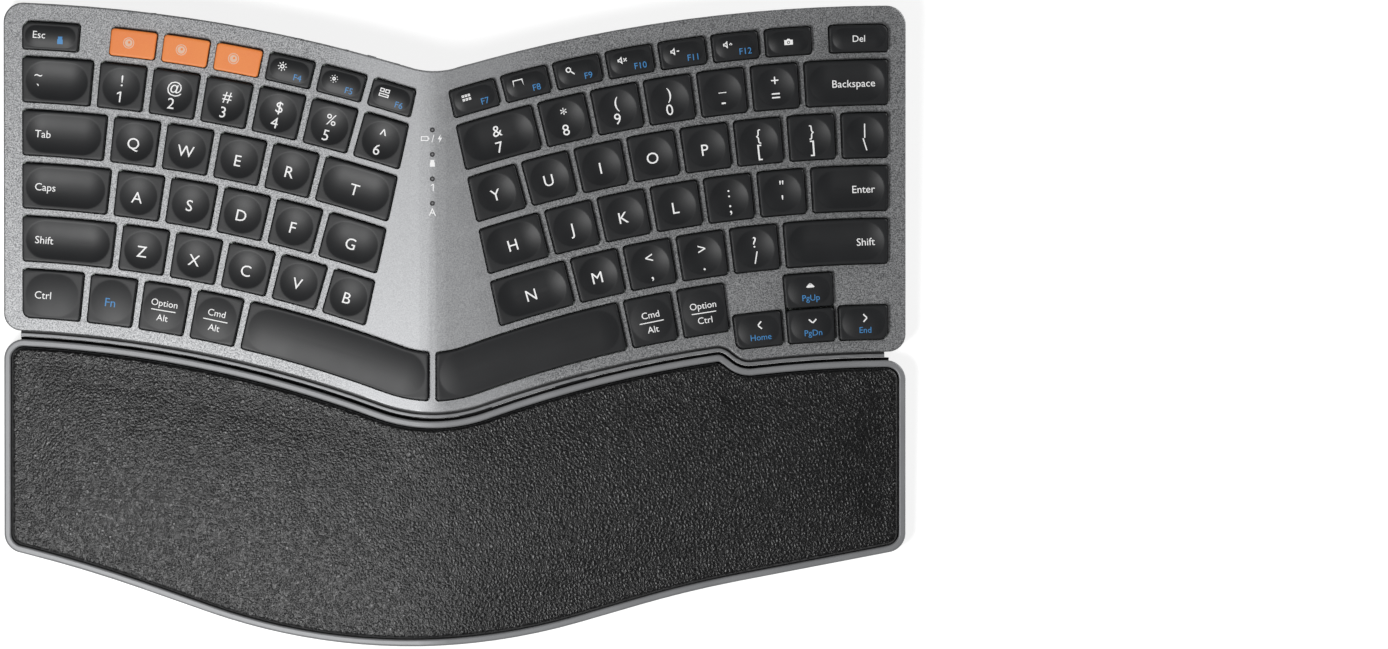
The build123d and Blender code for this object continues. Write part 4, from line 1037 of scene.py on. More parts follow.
    def arrows(self) -> list[Key]:
        """The arrow cluster: left and right of a pair that shares one well."""
        low = self.notch_front_radius + self.arrow_border
        high = low + self.arrow_depth
        middle = (low + high) / 2
        top = low + self.arrow_pair_depth
        pair_middle = (low + top) / 2
        pair = [RadialEdge(place * KEY_PITCH, pair_middle) for place in self.arrow_pair]
        left_sides = [RadialEdge(place * KEY_PITCH, middle) for place in self.arrow_left_sides]
        return [Key("arrow_left", "arrow_keys", RIGHT, high, low, *left_sides, Crown.MOUND, 2),
                Key("arrow_right", "arrow_keys", RIGHT, high, low, StraightEdge(RIGHT.key_line),
                    RadialEdge(self.arrow_right_side * KEY_PITCH, middle), Crown.MOUND, 3),
                Key("arrow_up", "arrow_keys", RIGHT, top, pair_middle - self.arrow_overlap, *pair, Crown.MOUND),
                Key("arrow_down", "arrow_keys", RIGHT, pair_middle + self.arrow_overlap, low, *pair, Crown.MOUND)]


# Keycaps


@dataclass
class Keycaps:
    """Moulded caps of all keys: a skirt, a bevelled rim, and a dish, a mound or a flat on top.

    `collar` is where the flat rim's rings draw together round the crown, as a multiple of the crown's radius.
    """

    gap: float = 0.4
    rise: float = 2.4
    skirt: float = 1.4
    wall: float = 1.1
    ceiling: float = 0.9
    bevel: float = 0.45
    chamfer: float = 0.1
    dish_depth: float = 1.05
    mound_height: float = 0.55
    softness: float = 0.05
    collar: float = 1.02
    plastic: PlasticFinish = PlasticFinish("key_plastic", linear(26, 27, 29), 0.47, 0.3, 0.01, 0.0, 0.4)
    orange: PlasticFinish = PlasticFinish("channel_key_plastic", linear(250, 138, 66), 0.5, 0.3, 0.008)

    def height(self, key: Key, s: np.ndarray, t: np.ndarray) -> np.ndarray:
        """Height over the deck of a cap's top.

        With d as the distance from the crown's middle line over its radius, the crown is its height times the smooth
        maximum of 1 - d squared and 0: (x + sqrt(x squared + softness squared)) / 2.
        """
        if key.crown is Crown.FLAT:
            return np.full(np.shape(s), self.rise)
        radius, _ = key.crown_size()
        reach = np.hypot(s - key.spine(s), t) / radius
        bowl = 1 - reach ** 2
        swell = (bowl + np.sqrt(bowl ** 2 + self.softness ** 2)) / 2
        return self.rise + (-self.dish_depth if key.crown is Crown.DISH else self.mound_height) * swell

    def top_rings(self, key: Key) -> list[tuple[np.ndarray, np.ndarray]]:
        """Rings u, v over the top: from the rim to the crown's edge, then in to its middle line."""
        s, t = key.local(*key.outline(self.gap + self.bevel))
        if key.crown is Crown.FLAT:
            return [key.unlocal(s * share, t * share) for share in (1.0, 0.85, 0.6, 0.3)]
        radius, _ = key.crown_size()
        spine = key.spine(s)
        reach = np.hypot(s - spine, t)
        along, across = (s - spine) / reach, t / reach
        rings = []
        for share in (0.0, 0.4, 0.75, 0.93):
            far = reach + (radius * self.collar - reach) * share
            rings.append(key.unlocal(spine + along * far, across * far))
        for share in (1.0, 0.975, 0.94, 0.88, 0.78, 0.64, 0.48, 0.3, 0.12):
            rings.append(key.unlocal(spine + along * radius * share, across * radius * share))
        return rings

    def add_cap(self, mesh: Mesh, key: Key) -> None:
        """Add one closed cap to a mesh.

        The rings run from the ceiling inside, down its wall, round the skirt and up to the rim, over a quarter-round
        bevel, and across the top.
        """
        rings = []

        def ring(inset: float, z: float) -> None:
            """Ring at one inset and height."""
            u, v = key.outline(inset)
            rings.append(key.half.place(u, v, z))

        for inset, z in ((self.wall + 0.5, self.ceiling), (self.wall, self.ceiling), (self.wall, -self.skirt),
                         (self.chamfer, -self.skirt), (0, -self.skirt + self.chamfer), (0, 0.2),
                         (0, self.rise - self.bevel * 1.3)):
            ring(self.gap + inset, z)
        for angle in np.radians((0, 22, 45, 67)):
            ring(self.gap + self.bevel * (1 - cos(angle)), self.rise - self.bevel * (1 - sin(angle)))
        for u, v in self.top_rings(key):
            rings.append(key.half.place(u, v, self.height(key, *key.local(u, v))))
        if key.half.side < 0:
            rings = [ring_points[::-1] for ring_points in rings]
        mesh.add_rings(rings)

    def build(self, keys: Sequence[Key]) -> None:
        """Make a piece for each CAD node of keys, and one of the coloured keys' own."""
        plastic, orange = self.plastic.make(), self.orange.make()
        groups: dict[str, list[Key]] = {}
        for key in keys:
            groups.setdefault(key.node, []).append(key)
        for node, members in groups.items():
            plain = [key for key in members if key.crown is not Crown.FLAT]
            coloured = [key for key in members if key.crown is Crown.FLAT]
            mesh = Mesh()
            for key in plain:
                self.add_cap(mesh, key)
            fit_piece(mesh.build(f"{node}_caps", plastic), node_body(node), [node])
            if coloured:
                mesh = Mesh()
                for key in coloured:
                    self.add_cap(mesh, key)
                fit_piece(mesh.build(f"{node}_channel_caps", orange), node_body(node))


def node_body(node: str) -> str:
    """Body that a CAD node belongs to."""
    return frame["nodes"][node]["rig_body"]


# Legends


class Ink(Enum):
    """Colour of a legend."""

    WHITE = 0.0
    BLUE = 1.0
    FAINT = 2.0


class Align(Enum):
    """Side of a legend that stands at its place."""

    LEFT = 0.0
    MIDDLE = 0.5
    RIGHT = 1.0


@dataclass(frozen=True)
class Mark:
    """Word or symbol on a key: where it stands from the key's middle, to the right and to the rear, and its size."""

    text: str
    right: float = -0.5
    rear: float = -0.7
    height: float = 3.95
    ink: Ink = Ink.WHITE
    align: Align = Align.MIDDLE
    squeeze: float = 1.0


def circle(radius: float, x: float = 0.0, y: float = 0.0, count: int = 20) -> np.ndarray:
    """Points of a circle."""
    angles = np.linspace(0, 2 * pi, count, endpoint=False)
    return np.column_stack((x + radius * np.cos(angles), y + radius * np.sin(angles)))


def bar(start: tuple[float, float], end: tuple[float, float], width: float) -> np.ndarray:
    """Corners of a stroke of that width between two points."""
    length = hypot(end[0] - start[0], end[1] - start[1])
    side = np.array((-(end[1] - start[1]), end[0] - start[0])) / length * width / 2
    first, last = np.array(start), np.array(end)
    return np.array((first - side, last - side, last + side, first + side))


def frame_box(width: float, height: float, stroke: float, x: float = 0.0, y: float = 0.0) -> list[np.ndarray]:
    """Outer and inner corners of a rectangular line."""
    corners = np.array(((-1, -1), (1, -1), (1, 1), (-1, 1)))
    outer = corners * (width / 2, height / 2) + (x, y)
    inner = corners * (width / 2 - stroke, height / 2 - stroke) + (x, y)
    return [outer, inner]


def icons() -> dict[str, list[list[np.ndarray]]]:
    """Plain symbols, each a list of flat shapes one unit tall. A shape is its outline and the outlines of its holes."""
    line = 0.13
    sun = [[circle(0.24), circle(0.24 - line)]]
    for angle in np.linspace(0, 2 * pi, 8, endpoint=False):
        sun.append([bar((0.33 * cos(angle), 0.33 * sin(angle)), (0.5 * cos(angle), 0.5 * sin(angle)), line * 0.8)])
    dim = [[circle(0.2), circle(0.2 - line)]]
    for angle in np.linspace(0, 2 * pi, 8, endpoint=False):
        dim.append([circle(0.055, 0.38 * cos(angle), 0.38 * sin(angle), 8)])
    speaker = [[np.array(((-0.5, -0.15), (-0.3, -0.15), (-0.02, -0.42), (-0.02, 0.42), (-0.3, 0.15), (-0.5, 0.15))),
                np.array(((-0.38, -0.05), (-0.25, -0.05), (-0.13, -0.17), (-0.13, 0.17), (-0.25, 0.05),
                          (-0.38, 0.05)))]]
    cross = [[bar((0.15, -0.17), (0.49, 0.17), line * 0.8)], [bar((0.15, 0.17), (0.25, 0.07), line * 0.8)],
             [bar((0.39, -0.07), (0.49, -0.17), line * 0.8)]]
    lock = [[np.array(((-0.34, -0.5), (0.34, -0.5), (0.34, 0.08), (-0.34, 0.08)))],
            [bar((-0.2, 0.08), (-0.2, 0.3), line)], [bar((0.2, 0.08), (0.2, 0.3), line)],
            [bar((-0.265, 0.36), (0.265, 0.36), line)]]
    grid = [frame_box(0.26, 0.26, 0.09, x, y) for x in (-0.34, 0.0, 0.34) for y in (-0.2, 0.2)]
    tasks = [frame_box(0.5, 0.42, 0.11, -0.2, 0.22), frame_box(0.5, 0.42, 0.11, 0.38, 0.22),
             frame_box(1.1, 0.36, 0.11, 0.1, -0.3)]
    window = [frame_box(1.1, 0.8, 0.11), [bar((-0.44, 0.2), (0.44, 0.2), 0.1)]]
    glass = [[circle(0.3, -0.12, 0.12), circle(0.3 - line, -0.12, 0.12)], [bar((0.12, -0.1), (0.45, -0.44), line)]]
    camera = [[np.array(((-0.55, -0.38), (0.55, -0.38), (0.55, 0.26), (0.24, 0.26), (0.14, 0.4), (-0.14, 0.4),
                         (-0.24, 0.26), (-0.55, 0.26))), circle(0.2, 0, -0.06)], [circle(0.11, 0, -0.06, 12)]]
    round_mark = [[circle(0.5), circle(0.42)], [circle(0.34), circle(0.12, 0.04, 0.06, 8)]]
    one = [[np.array(((0.06, -0.5), (0.2, -0.5), (0.2, 0.5), (0.07, 0.5), (-0.2, 0.34), (-0.2, 0.2), (0.06, 0.34)))]]
    return {"sun": sun, "dim": dim, "mute": speaker + cross, "lock": lock, "grid": grid, "tasks": tasks,
            "window": window, "glass": glass, "camera": camera, "round": round_mark, "one": one,
            "quiet": speaker + [[bar((0.18, 0), (0.46, 0), line)]],
            "loud": speaker + [[bar((0.18, 0), (0.28, 0), line)], [bar((0.38, 0), (0.48, 0), line)],
                               [bar((0.33, -0.15), (0.33, 0.15), line)]],
            "bolt": [[np.array(((0.1, 0.5), (-0.26, -0.08), (-0.02, -0.08), (-0.1, -0.5), (0.26, 0.1),
                                (0.02, 0.1)))]],
            "cell": [frame_box(0.9, 0.56, 0.1, -0.05, 0), [bar((0.46, -0.12), (0.46, 0.12), 0.1)]],
            "rule": [[np.array(((-0.5, -0.05), (0.5, -0.05), (0.5, 0.05), (-0.5, 0.05)))]],
            "left": [[bar((0.2, 0.5), (-0.28, 0.02), 0.17)], [bar((-0.28, 0.02 - 0.04), (0.2, -0.5), 0.17)]],
            "right": [[bar((-0.2, 0.5), (0.28, 0.02), 0.17)], [bar((0.28, -0.02), (-0.2, -0.5), 0.17)]],
            "up": [[bar((-0.5, -0.2), (-0.02, 0.28), 0.17)], [bar((0.02, 0.28), (0.5, -0.2), 0.17)]],
            "down": [[bar((-0.5, 0.2), (-0.02, -0.28), 0.17)], [bar((0.02, -0.28), (0.5, 0.2), 0.17)]]}


@dataclass
class Legends:
    """Printed signs on the caps and beside the lights, each a thin closed shell a hair over what carries it."""

    lift: float = 0.06
    sunk: float = 0.05
    longest_share: float = 0.4
    splits: int = 5
    ink: InkFinish = InkFinish()
    cap_height: float = 0.0
    shapes: dict[str, tuple[np.ndarray, list[tuple[int, ...]]]] = field(default_factory=dict)

    @staticmethod
    def source(text: str) -> bpy.types.Curve:
        """Curve of an icon whose name stands in angle brackets, or of a word in the built-in font."""
        if not (text.startswith("<") and text.endswith(">") and len(text) > 2):
            source = bpy.data.curves.new("sign", "FONT")
            source.body = text
            source.resolution_u = 3
            return source
        source = bpy.data.curves.new("sign", "CURVE")
        source.dimensions = "2D"
        source.fill_mode = "BOTH"
        for shape in icons()[text[1:-1]]:
            for outline in shape:
                line = source.splines.new("POLY")
                line.points.add(len(outline) - 1)
                line.points.foreach_set("co", np.column_stack((outline, np.zeros(len(outline)),
                                                               np.ones(len(outline)))).ravel())
                line.use_cyclic_u = True
        return source

    def drawn(self, source: bpy.types.Curve) -> tuple[np.ndarray, list[tuple[int, ...]]]:
        """Points x, y and triangles of a curve's filled shape, with its longest edges split so that it can bend."""
        carrier = bpy.data.objects.new("sign", source)
        bpy.context.scene.collection.objects.link(carrier)
        bpy.context.view_layer.update()
        mesh = bpy.data.meshes.new_from_object(carrier.evaluated_get(bpy.context.evaluated_depsgraph_get()))
        bpy.data.objects.remove(carrier)
        net = bmesh.new()
        net.from_mesh(mesh)
        bmesh.ops.remove_doubles(net, verts=net.verts, dist=1e-6)
        bmesh.ops.dissolve_degenerate(net, edges=net.edges, dist=1e-6)
        bmesh.ops.triangulate(net, faces=net.faces)
        for _ in range(self.splits):
            long = [edge for edge in net.edges if edge.calc_length() > self.longest_share]
            bmesh.ops.subdivide_edges(net, edges=long, cuts=1)
            bmesh.ops.triangulate(net, faces=net.faces)
        net.to_mesh(mesh)
        net.free()
        points = np.zeros(len(mesh.vertices) * 3)
        mesh.vertices.foreach_get("co", points)
        faces = [tuple(face.vertices) for face in mesh.polygons]
        bpy.data.meshes.remove(mesh)
        return points.reshape(-1, 3)[:, :2], faces

    def flat(self, text: str) -> tuple[np.ndarray, list[tuple[int, ...]]]:
        """Flat faces of a word or an icon.

        Args:
            text: The word, or an icon's name as in "<sun>".

        Returns:
            Points x, y of one unit cap height with the origin at the middle of the line's left end, and triangles.
        """
        if text in self.shapes:
            return self.shapes[text]
        source = self.source(text)
        points, faces = self.drawn(source)
        if isinstance(source, bpy.types.TextCurve):
            if not self.cap_height:
                self.cap_height = 1.0
                capital = self.flat("H")[0]
                self.shapes.clear()
                self.cap_height = float(np.ptp(capital[:, 1]))
            points = points / self.cap_height
            points[:, 1] -= 0.5
        points[:, 0] -= points[:, 0].min()
        self.shapes[text] = points, faces
        return self.shapes[text]

    def add(self, mesh: Mesh, mark: Mark, place: Callable) -> None:
        """Add one mark to a mesh.

        The flat shape is scaled and moved to its place, and a lower copy closes it: each edge that only one face
        uses gets a wall.

        Args:
            mesh: Mesh that gets the shell.
            mark: The mark.
            place: Function that turns x, y in millimetres and a lift into rows of metres.
        """
        points, faces = self.flat(mark.text)
        x = (points[:, 0] - np.ptp(points[:, 0]) * mark.align.value) * mark.height * mark.squeeze + mark.right
        y = points[:, 1] * mark.height + mark.rear
        upper, lower = place(x, y, self.lift), place(x, y, -self.sunk)
        edges: dict[tuple[int, int], int] = {}
        for face in faces:
            for start, end in zip(face, face[1:] + face[:1]):
                edges[(start, end)] = edges.get((start, end), 0) + 1
        size = len(points)
        walls = [(end, start, start + size, end + size) for start, end in edges if (end, start) not in edges]
        shell = list(faces) + [tuple(i + size for i in reversed(face)) for face in faces] + walls
        mesh.add(np.concatenate((upper, lower)), shell, mark.ink.value)


DIGIT_SIGNS = dict(zip("1234567890", "!@#$%^&*()"))
DOUBLE_SIGNS = {"minus": ("_", "-"), "equals": ("+", "="), "left_bracket": ("{", "["), "right_bracket": ("}", "]"),
                "backslash": ("|", "\\"), "semicolon": (":", ";"), "quote": ("\"", "'"), "comma": ("<", ","),
                "period": (">", "."), "slash": ("?", "/")}
LEFT_WORDS = {"tab": "Tab", "caps_lock": "Caps", "left_shift": "Shift", "left_control": "Ctrl"}
RIGHT_WORDS = {"backspace": "Backspace", "enter": "Enter", "right_shift": "Shift"}
FUNCTION_SIGNS = {"f4": "<sun>", "f5": "<dim>", "f6": "<tasks>", "f7": "<grid>", "f8": "<window>", "f9": "<glass>",
                  "f10": "<mute>", "f11": "<quiet>", "f12": "<loud>"}
STACKED_WORDS = {"left_option": ("Option", "Alt"), "left_command": ("Cmd", "Alt"), "right_command": ("Cmd", "Alt"),
                 "right_option": ("Option", "Ctrl")}
ARROW_SIGNS = {"arrow_left": ("<left>", "Home"), "arrow_up": ("<up>", "PgUp"), "arrow_down": ("<down>", "PgDn"),
               "arrow_right": ("<right>", "End")}
CHANNEL_MARK = Mark("<round>", -1.5, 0.2, 4.0, Ink.FAINT)
SINGLE_MARKS = {"function_lock": [Mark("Fn", -0.3, -0.6, 3.0, Ink.BLUE)], "capture": [Mark("<camera>", 0.0, 0.0, 2.8)],
                "delete": [Mark("Del", 0.0, 0.0, 2.3)], "channel_1": [CHANNEL_MARK], "channel_2": [CHANNEL_MARK],
                "channel_3": [CHANNEL_MARK]}


@dataclass
class KeyLegends:
    """What stands on each key, and the meshes that show it."""

    legends: Legends
    caps: Keycaps
    edge: float = 4.9
    word_height: float = 2.6

    def marks(self, key: Key) -> list[Mark]:
        """Marks of one key."""
        name = key.name
        left_side = -key.width() / 2 + self.edge
        right_side = key.width() / 2 - self.edge
        if name in DIGIT_SIGNS:
            digit = "<one>" if name == "1" else name
            return [Mark(digit, -0.6, -3.6, 3.8), Mark(DIGIT_SIGNS[name], 0.0, 2.2, 3.9)]
        if name in DOUBLE_SIGNS:
            upper, lower = DOUBLE_SIGNS[name]
            return [Mark(lower, 0.0, -3.2, 4.2), Mark(upper, 0.0, 2.3, 3.8)]
        if len(name) == 1:
            return [Mark(name.upper())]
        if name == "grave":
            return [Mark("~", -key.width() / 2 + 6, 2.0, 3.4), Mark("`", -key.width() / 2 + 6, -3.0, 3.4)]
        if name in LEFT_WORDS:
            return [Mark(LEFT_WORDS[name], left_side, -0.3, self.word_height, align=Align.LEFT)]
        if name in RIGHT_WORDS:
            return [Mark(RIGHT_WORDS[name], right_side, -0.3, self.word_height, align=Align.RIGHT)]
        if name in STACKED_WORDS:
            upper, lower = STACKED_WORDS[name]
            return [Mark(upper, 0.0, 1.9, 2.3), Mark(lower, 0.0, -3.4, 2.3),
                    Mark("<rule>", 0.0, -0.75, 3.4, squeeze=2.6)]
        if name in ARROW_SIGNS:
            sign, word = ARROW_SIGNS[name]
            return [Mark(sign, 0.6, 1.7, 2.7), Mark(word, 0.6, -2.6, 2.1, Ink.BLUE)]
        if name in FUNCTION_SIGNS:
            return [Mark(FUNCTION_SIGNS[name], -2.8, 1.0, 3.3), Mark(name.upper(), 3.4, -1.9, 2.2, Ink.BLUE)]
        if name == "escape":
            return [Mark("Esc", left_side - 0.6, 0.5, 2.5, align=Align.LEFT),
                    Mark("<lock>", left_side + 9.3, -1.0, 2.9, Ink.BLUE)]
        return SINGLE_MARKS.get(name, [])

    def build(self, keys: Sequence[Key]) -> None:
        """Make one piece of marks for each CAD node of keys."""
        ink = self.legends.ink.make()
        groups: dict[str, list[Key]] = {}
        for key in keys:
            groups.setdefault(key.node, []).append(key)
        for node, members in groups.items():
            mesh = Mesh()
            for key in members:
                def place(x: np.ndarray, y: np.ndarray, lift: float, key: Key = key) -> np.ndarray:
                    """Points on the cap's top: x to the right whichever half the key is on."""
                    s = x * key.half.side
                    u, v = Key.unlocal(key, s, y)
                    return key.half.place(u, v, self.caps.height(key, s, y) + lift)

                for mark in self.marks(key):
                    self.legends.add(mesh, mark, place)
            if mesh.count:
                fit_piece(mesh.build(f"{node}_legends", ink), node_body(node))


# Palm rest


@dataclass
class PalmPad:
    """Leather pad of the palm rest: a cushion that swells between the rim's sides.

    The pad is a function of two parameters on a grid: columns run across the rest and rows from its front edge to
    its rear edge. A short cloth simulation on a coarse grid gives the swell, which the fine grid takes over.
    """

    rise: float = 1.3
    ridge_radius: float = 200.0
    rounding: float = 1.3
    depth: float = 3.0
    fine_step: float = 1.3
    coarse_step: float = 5.0
    pressure: float = 4.0
    frames: int = 20
    swell: float = 2.0
    finish: LeatherFinish = LeatherFinish()
    outline: np.ndarray = field(default_factory=lambda: np.zeros((0, 2)))

    def edges_at(self, x: np.ndarray) -> tuple[np.ndarray, np.ndarray]:
        """Front and rear edge of the pad over places x, from the two chains between the outline's ends."""
        front, rear = front_and_rear(self.outline)
        return np.interp(x, front[:, 0], front[:, 1]), np.interp(x, rear[:, 0], rear[:, 1])

    def border_reach(self, x: np.ndarray, y: np.ndarray) -> np.ndarray:
        """Distance of points from the outline: the least of their distances from its straight pieces.

        The nearest point of a piece is its start plus its run times the share (p - start) . run / run . run, held
        between 0 and 1.
        """
        start = self.outline
        run = np.roll(start, -1, axis=0) - start
        best = np.full(x.shape, np.inf)
        for (sx, sy), (rx, ry) in zip(start, run):
            share = np.clip(((x - sx) * rx + (y - sy) * ry) / max(rx * rx + ry * ry, 1e-9), 0, 1)
            best = np.minimum(best, np.hypot(x - sx - rx * share, y - sy - ry * share))
        return best

    def grid(self, step: float, fine: bool) -> tuple[np.ndarray, np.ndarray]:
        """Places x and y of the grid, with lines crowded along the border where it is fine."""
        low, high = self.outline[:, 0].min(), self.outline[:, 0].max()
        border = self.rounding * (1 - np.cos(np.linspace(0, pi / 2, 9))) if fine else np.zeros(1)
        count = int((high - low) / step)
        x = np.concatenate((low + border, np.linspace(low + border[-1], high - border[-1], count)[1:-1],
                            (high - border)[::-1]))
        front, rear = self.edges_at(x)
        rows = int(np.max(rear - front) / step)
        share = np.linspace(0, 1, rows)[None, 1:-1]
        inner_front, inner_rear = (front + border[-1])[:, None], (rear - border[-1])[:, None]
        y = np.hstack((front[:, None] + border[None, :], inner_front + (inner_rear - inner_front) * share,
                       (rear[:, None] - border[None, ::-1])))
        return np.repeat(x[:, None], y.shape[1], axis=1), y

    def heights(self, x: np.ndarray, y: np.ndarray) -> np.ndarray:
        """Height of the pad's top before it swells.

        Over the deck it stands `rise` high, less a quarter circle of radius r along the border:
        r - sqrt(r squared - (r - d) squared) at a distance d under r.
        """
        reach = np.minimum(self.border_reach(x, y), self.rounding)
        edge = self.rounding - np.sqrt(np.maximum(self.rounding ** 2 - (self.rounding - reach) ** 2, 0))
        return deck_height(x, y, self.ridge_radius) + self.rise - edge

    @staticmethod
    def shell(top: np.ndarray, bottom: np.ndarray) -> tuple[np.ndarray, list[tuple[int, ...]]]:
        """Closed shell of two grids of the same size: their quads, and walls along the four sides."""
        columns, rows = top.shape[:2]
        count = columns * rows
        number = np.arange(count).reshape(columns, rows)
        quads = np.stack((number[:-1, :-1], number[1:, :-1], number[1:, 1:], number[:-1, 1:]), axis=-1).reshape(-1, 4)
        rim = np.concatenate((number[:, 0], number[-1, 1:], number[-2::-1, -1], number[0, -2:0:-1]))
        after = np.roll(rim, -1)
        walls = np.column_stack((after, rim, rim + count, after + count))
        faces = [tuple(face) for face in np.vstack((quads, quads[:, ::-1] + count, walls[:, ::-1])).tolist()]
        return np.concatenate((top.reshape(-1, 3), bottom.reshape(-1, 3))), faces

    def swelling(self) -> tuple[np.ndarray, np.ndarray, np.ndarray]:
        """Swell that a cloth simulation gives a coarse pad whose border and underside are held.

        Returns:
            Places x of the coarse columns, shares of the way to the rear of its rows, and the rise of each point in
            millimetres, none past `swell`.
        """
        x, y = self.grid(self.coarse_step, False)
        top = np.dstack((x, y, self.heights(x, y)))
        bottom = np.dstack((x, y, deck_height(x, y) - self.depth))
        points, faces = self.shell(top, bottom)
        mesh = Mesh()
        mesh.add(points * MM, faces)
        carrier = mesh.build("swell", bpy.data.materials.new("swell"))
        held = carrier.vertex_groups.new(name="held")
        border = np.ones(x.shape, bool)
        border[1:-1, 1:-1] = False
        pinned = np.concatenate((np.flatnonzero(border.ravel()), np.arange(x.size, 2 * x.size)))
        held.add(pinned.tolist(), 1.0, "REPLACE")
        cloth = carrier.modifiers.new("cloth", "CLOTH").settings
        for name, value in {"quality": 8, "mass": 0.25, "tension_stiffness": 20, "compression_stiffness": 20,
                            "bending_stiffness": 4, "use_pressure": True, "uniform_pressure_force": self.pressure,
                            "vertex_group_mass": held.name}.items():
            setattr(cloth, name, value)
        cloth.effector_weights.gravity = 0
        for number in range(1, self.frames + 1):
            bpy.context.scene.frame_set(number)
        moved = carrier.evaluated_get(bpy.context.evaluated_depsgraph_get()).data
        after = np.zeros(len(moved.vertices) * 3)
        moved.vertices.foreach_get("co", after)
        rise = (after.reshape(-1, 3)[:x.size, 2] / MM - top[:, :, 2].ravel()).reshape(x.shape)
        log.info("the pad swells by %.2f to %.2f mm before the cap", rise.min(), rise.max())
        bpy.context.scene.frame_set(1)
        bpy.data.objects.remove(carrier)
        front, rear = y[:, :1], y[:, -1:]
        share = ((y - front) / (rear - front))[x.shape[0] // 2]
        return x[:, 0], share, np.clip(rise, 0, self.swell)

    @staticmethod
    def sampled(values: np.ndarray, across: np.ndarray, along: np.ndarray, x: np.ndarray,
                share: np.ndarray) -> np.ndarray:
        """Values of a coarse grid between its points, first across its columns and then its rows.

        The share f of the way from one point to the next counts as half f and half its smooth step, f squared times
        3 - 2 f.
        """
        column = np.interp(x, across, np.arange(len(across)))
        row = np.interp(share, along, np.arange(len(along)))
        left = np.minimum(column.astype(int), len(across) - 2)
        low = np.minimum(row.astype(int), len(along) - 2)
        fx, fy = (f * f * (3 - 2 * f) * 0.5 + f * 0.5 for f in (column - left, row - low))
        near = values[left, low] * (1 - fx) + values[left + 1, low] * fx
        far = values[left, low + 1] * (1 - fx) + values[left + 1, low + 1] * fx
        return near * (1 - fy) + far * fy

    def build(self) -> None:
        """Make the pad and let it stand for the cover and its foam."""
        self.outline = node_outline("rest_cover", lambda face: face.normal.z < -0.9)
        x, y = self.grid(self.fine_step, True)
        z = self.heights(x, y)
        across, along, rise = self.swelling()
        share = (y - y[:, :1]) / (y[:, -1:] - y[:, :1])
        z = z + self.sampled(rise, across, along, x, share)
        bottom = np.dstack((x, y, deck_height(x, y) - self.depth))
        points, faces = self.shell(np.dstack((x, y, z)), bottom)
        mesh = Mesh()
        mesh.add(points * MM, faces)
        pad = mesh.build("palm_pad", self.finish.make())
        fit_piece(pad, "palm_rest", ["rest_cover", "rest_foam"])


# Trim and bumper


def spaced(edge: np.ndarray, step: float = 1.0) -> tuple[np.ndarray, np.ndarray]:
    """Evenly spaced points along a line that runs from left to right, and its normals to the front.

    Args:
        edge: Points x, y of the line in millimetres.
        step: Distance between the new points.

    Returns:
        The new points and their normals, one row each.
    """
    reach = np.concatenate(([0], np.cumsum(np.hypot(*np.diff(edge, axis=0).T))))
    places = np.linspace(0, reach[-1], int(reach[-1] / step))
    line = np.column_stack([np.interp(places, reach, edge[:, axis]) for axis in (0, 1)])
    run = np.gradient(line, axis=0)
    run /= np.hypot(run[:, 0], run[:, 1])[:, None]
    return line, np.column_stack((run[:, 1], -run[:, 0]))


def swept(line: np.ndarray, normal: np.ndarray, section: np.ndarray) -> Mesh:
    """Closed sweep of a section along a line, at the deck's height everywhere.

    Args:
        line: Points x, y of the line, from left to right.
        normal: Its normals to the front.
        section: Distances to the front and heights over the deck, in order from the rear over the top.

    Returns:
        A mesh with one closed shell.
    """
    across, up = section.T
    x = line[:, :1] + normal[:, :1] * across
    y = line[:, 1:] + normal[:, 1:] * across
    mesh = Mesh()
    mesh.add_rings(list(np.dstack((x, y, deck_height(x, y) + up)) * MM))
    return mesh


@dataclass
class RestSlitShade:
    """Soft near-black strip along the rest's rear wall, low in the slit between the rest and the board, that paints the
    slit's shade.
    """

    reach: float = 1.02
    drop: float = 4.5
    height: float = 3.0
    root: float = 0.2
    margin: float = 6.0

    def build(self) -> None:
        """Sweep a rectangle along the rear edge of the rest's rim."""
        rear = front_and_rear(node_outline("rest_rim", lambda face: face.normal.z < -0.5))[1]
        line, normal = spaced(rear)
        inside = (line[:, 0] > line[0, 0] + self.margin) & (line[:, 0] < line[-1, 0] - self.margin)
        line, normal = line[inside], normal[inside]
        low = -self.drop - self.height
        section = np.array(((-self.reach, low), (-self.reach, -self.drop), (self.root, -self.drop), (self.root, low)))
        # Painted shade: the near-black strip keeps the slit between rest and board dark.
        rubber = RubberFinish("slit_shade_rubber", linear(12, 12, 13)).make()
        fit_piece(swept(line, normal, section).build("rest_slit_shade", rubber), "palm_rest")


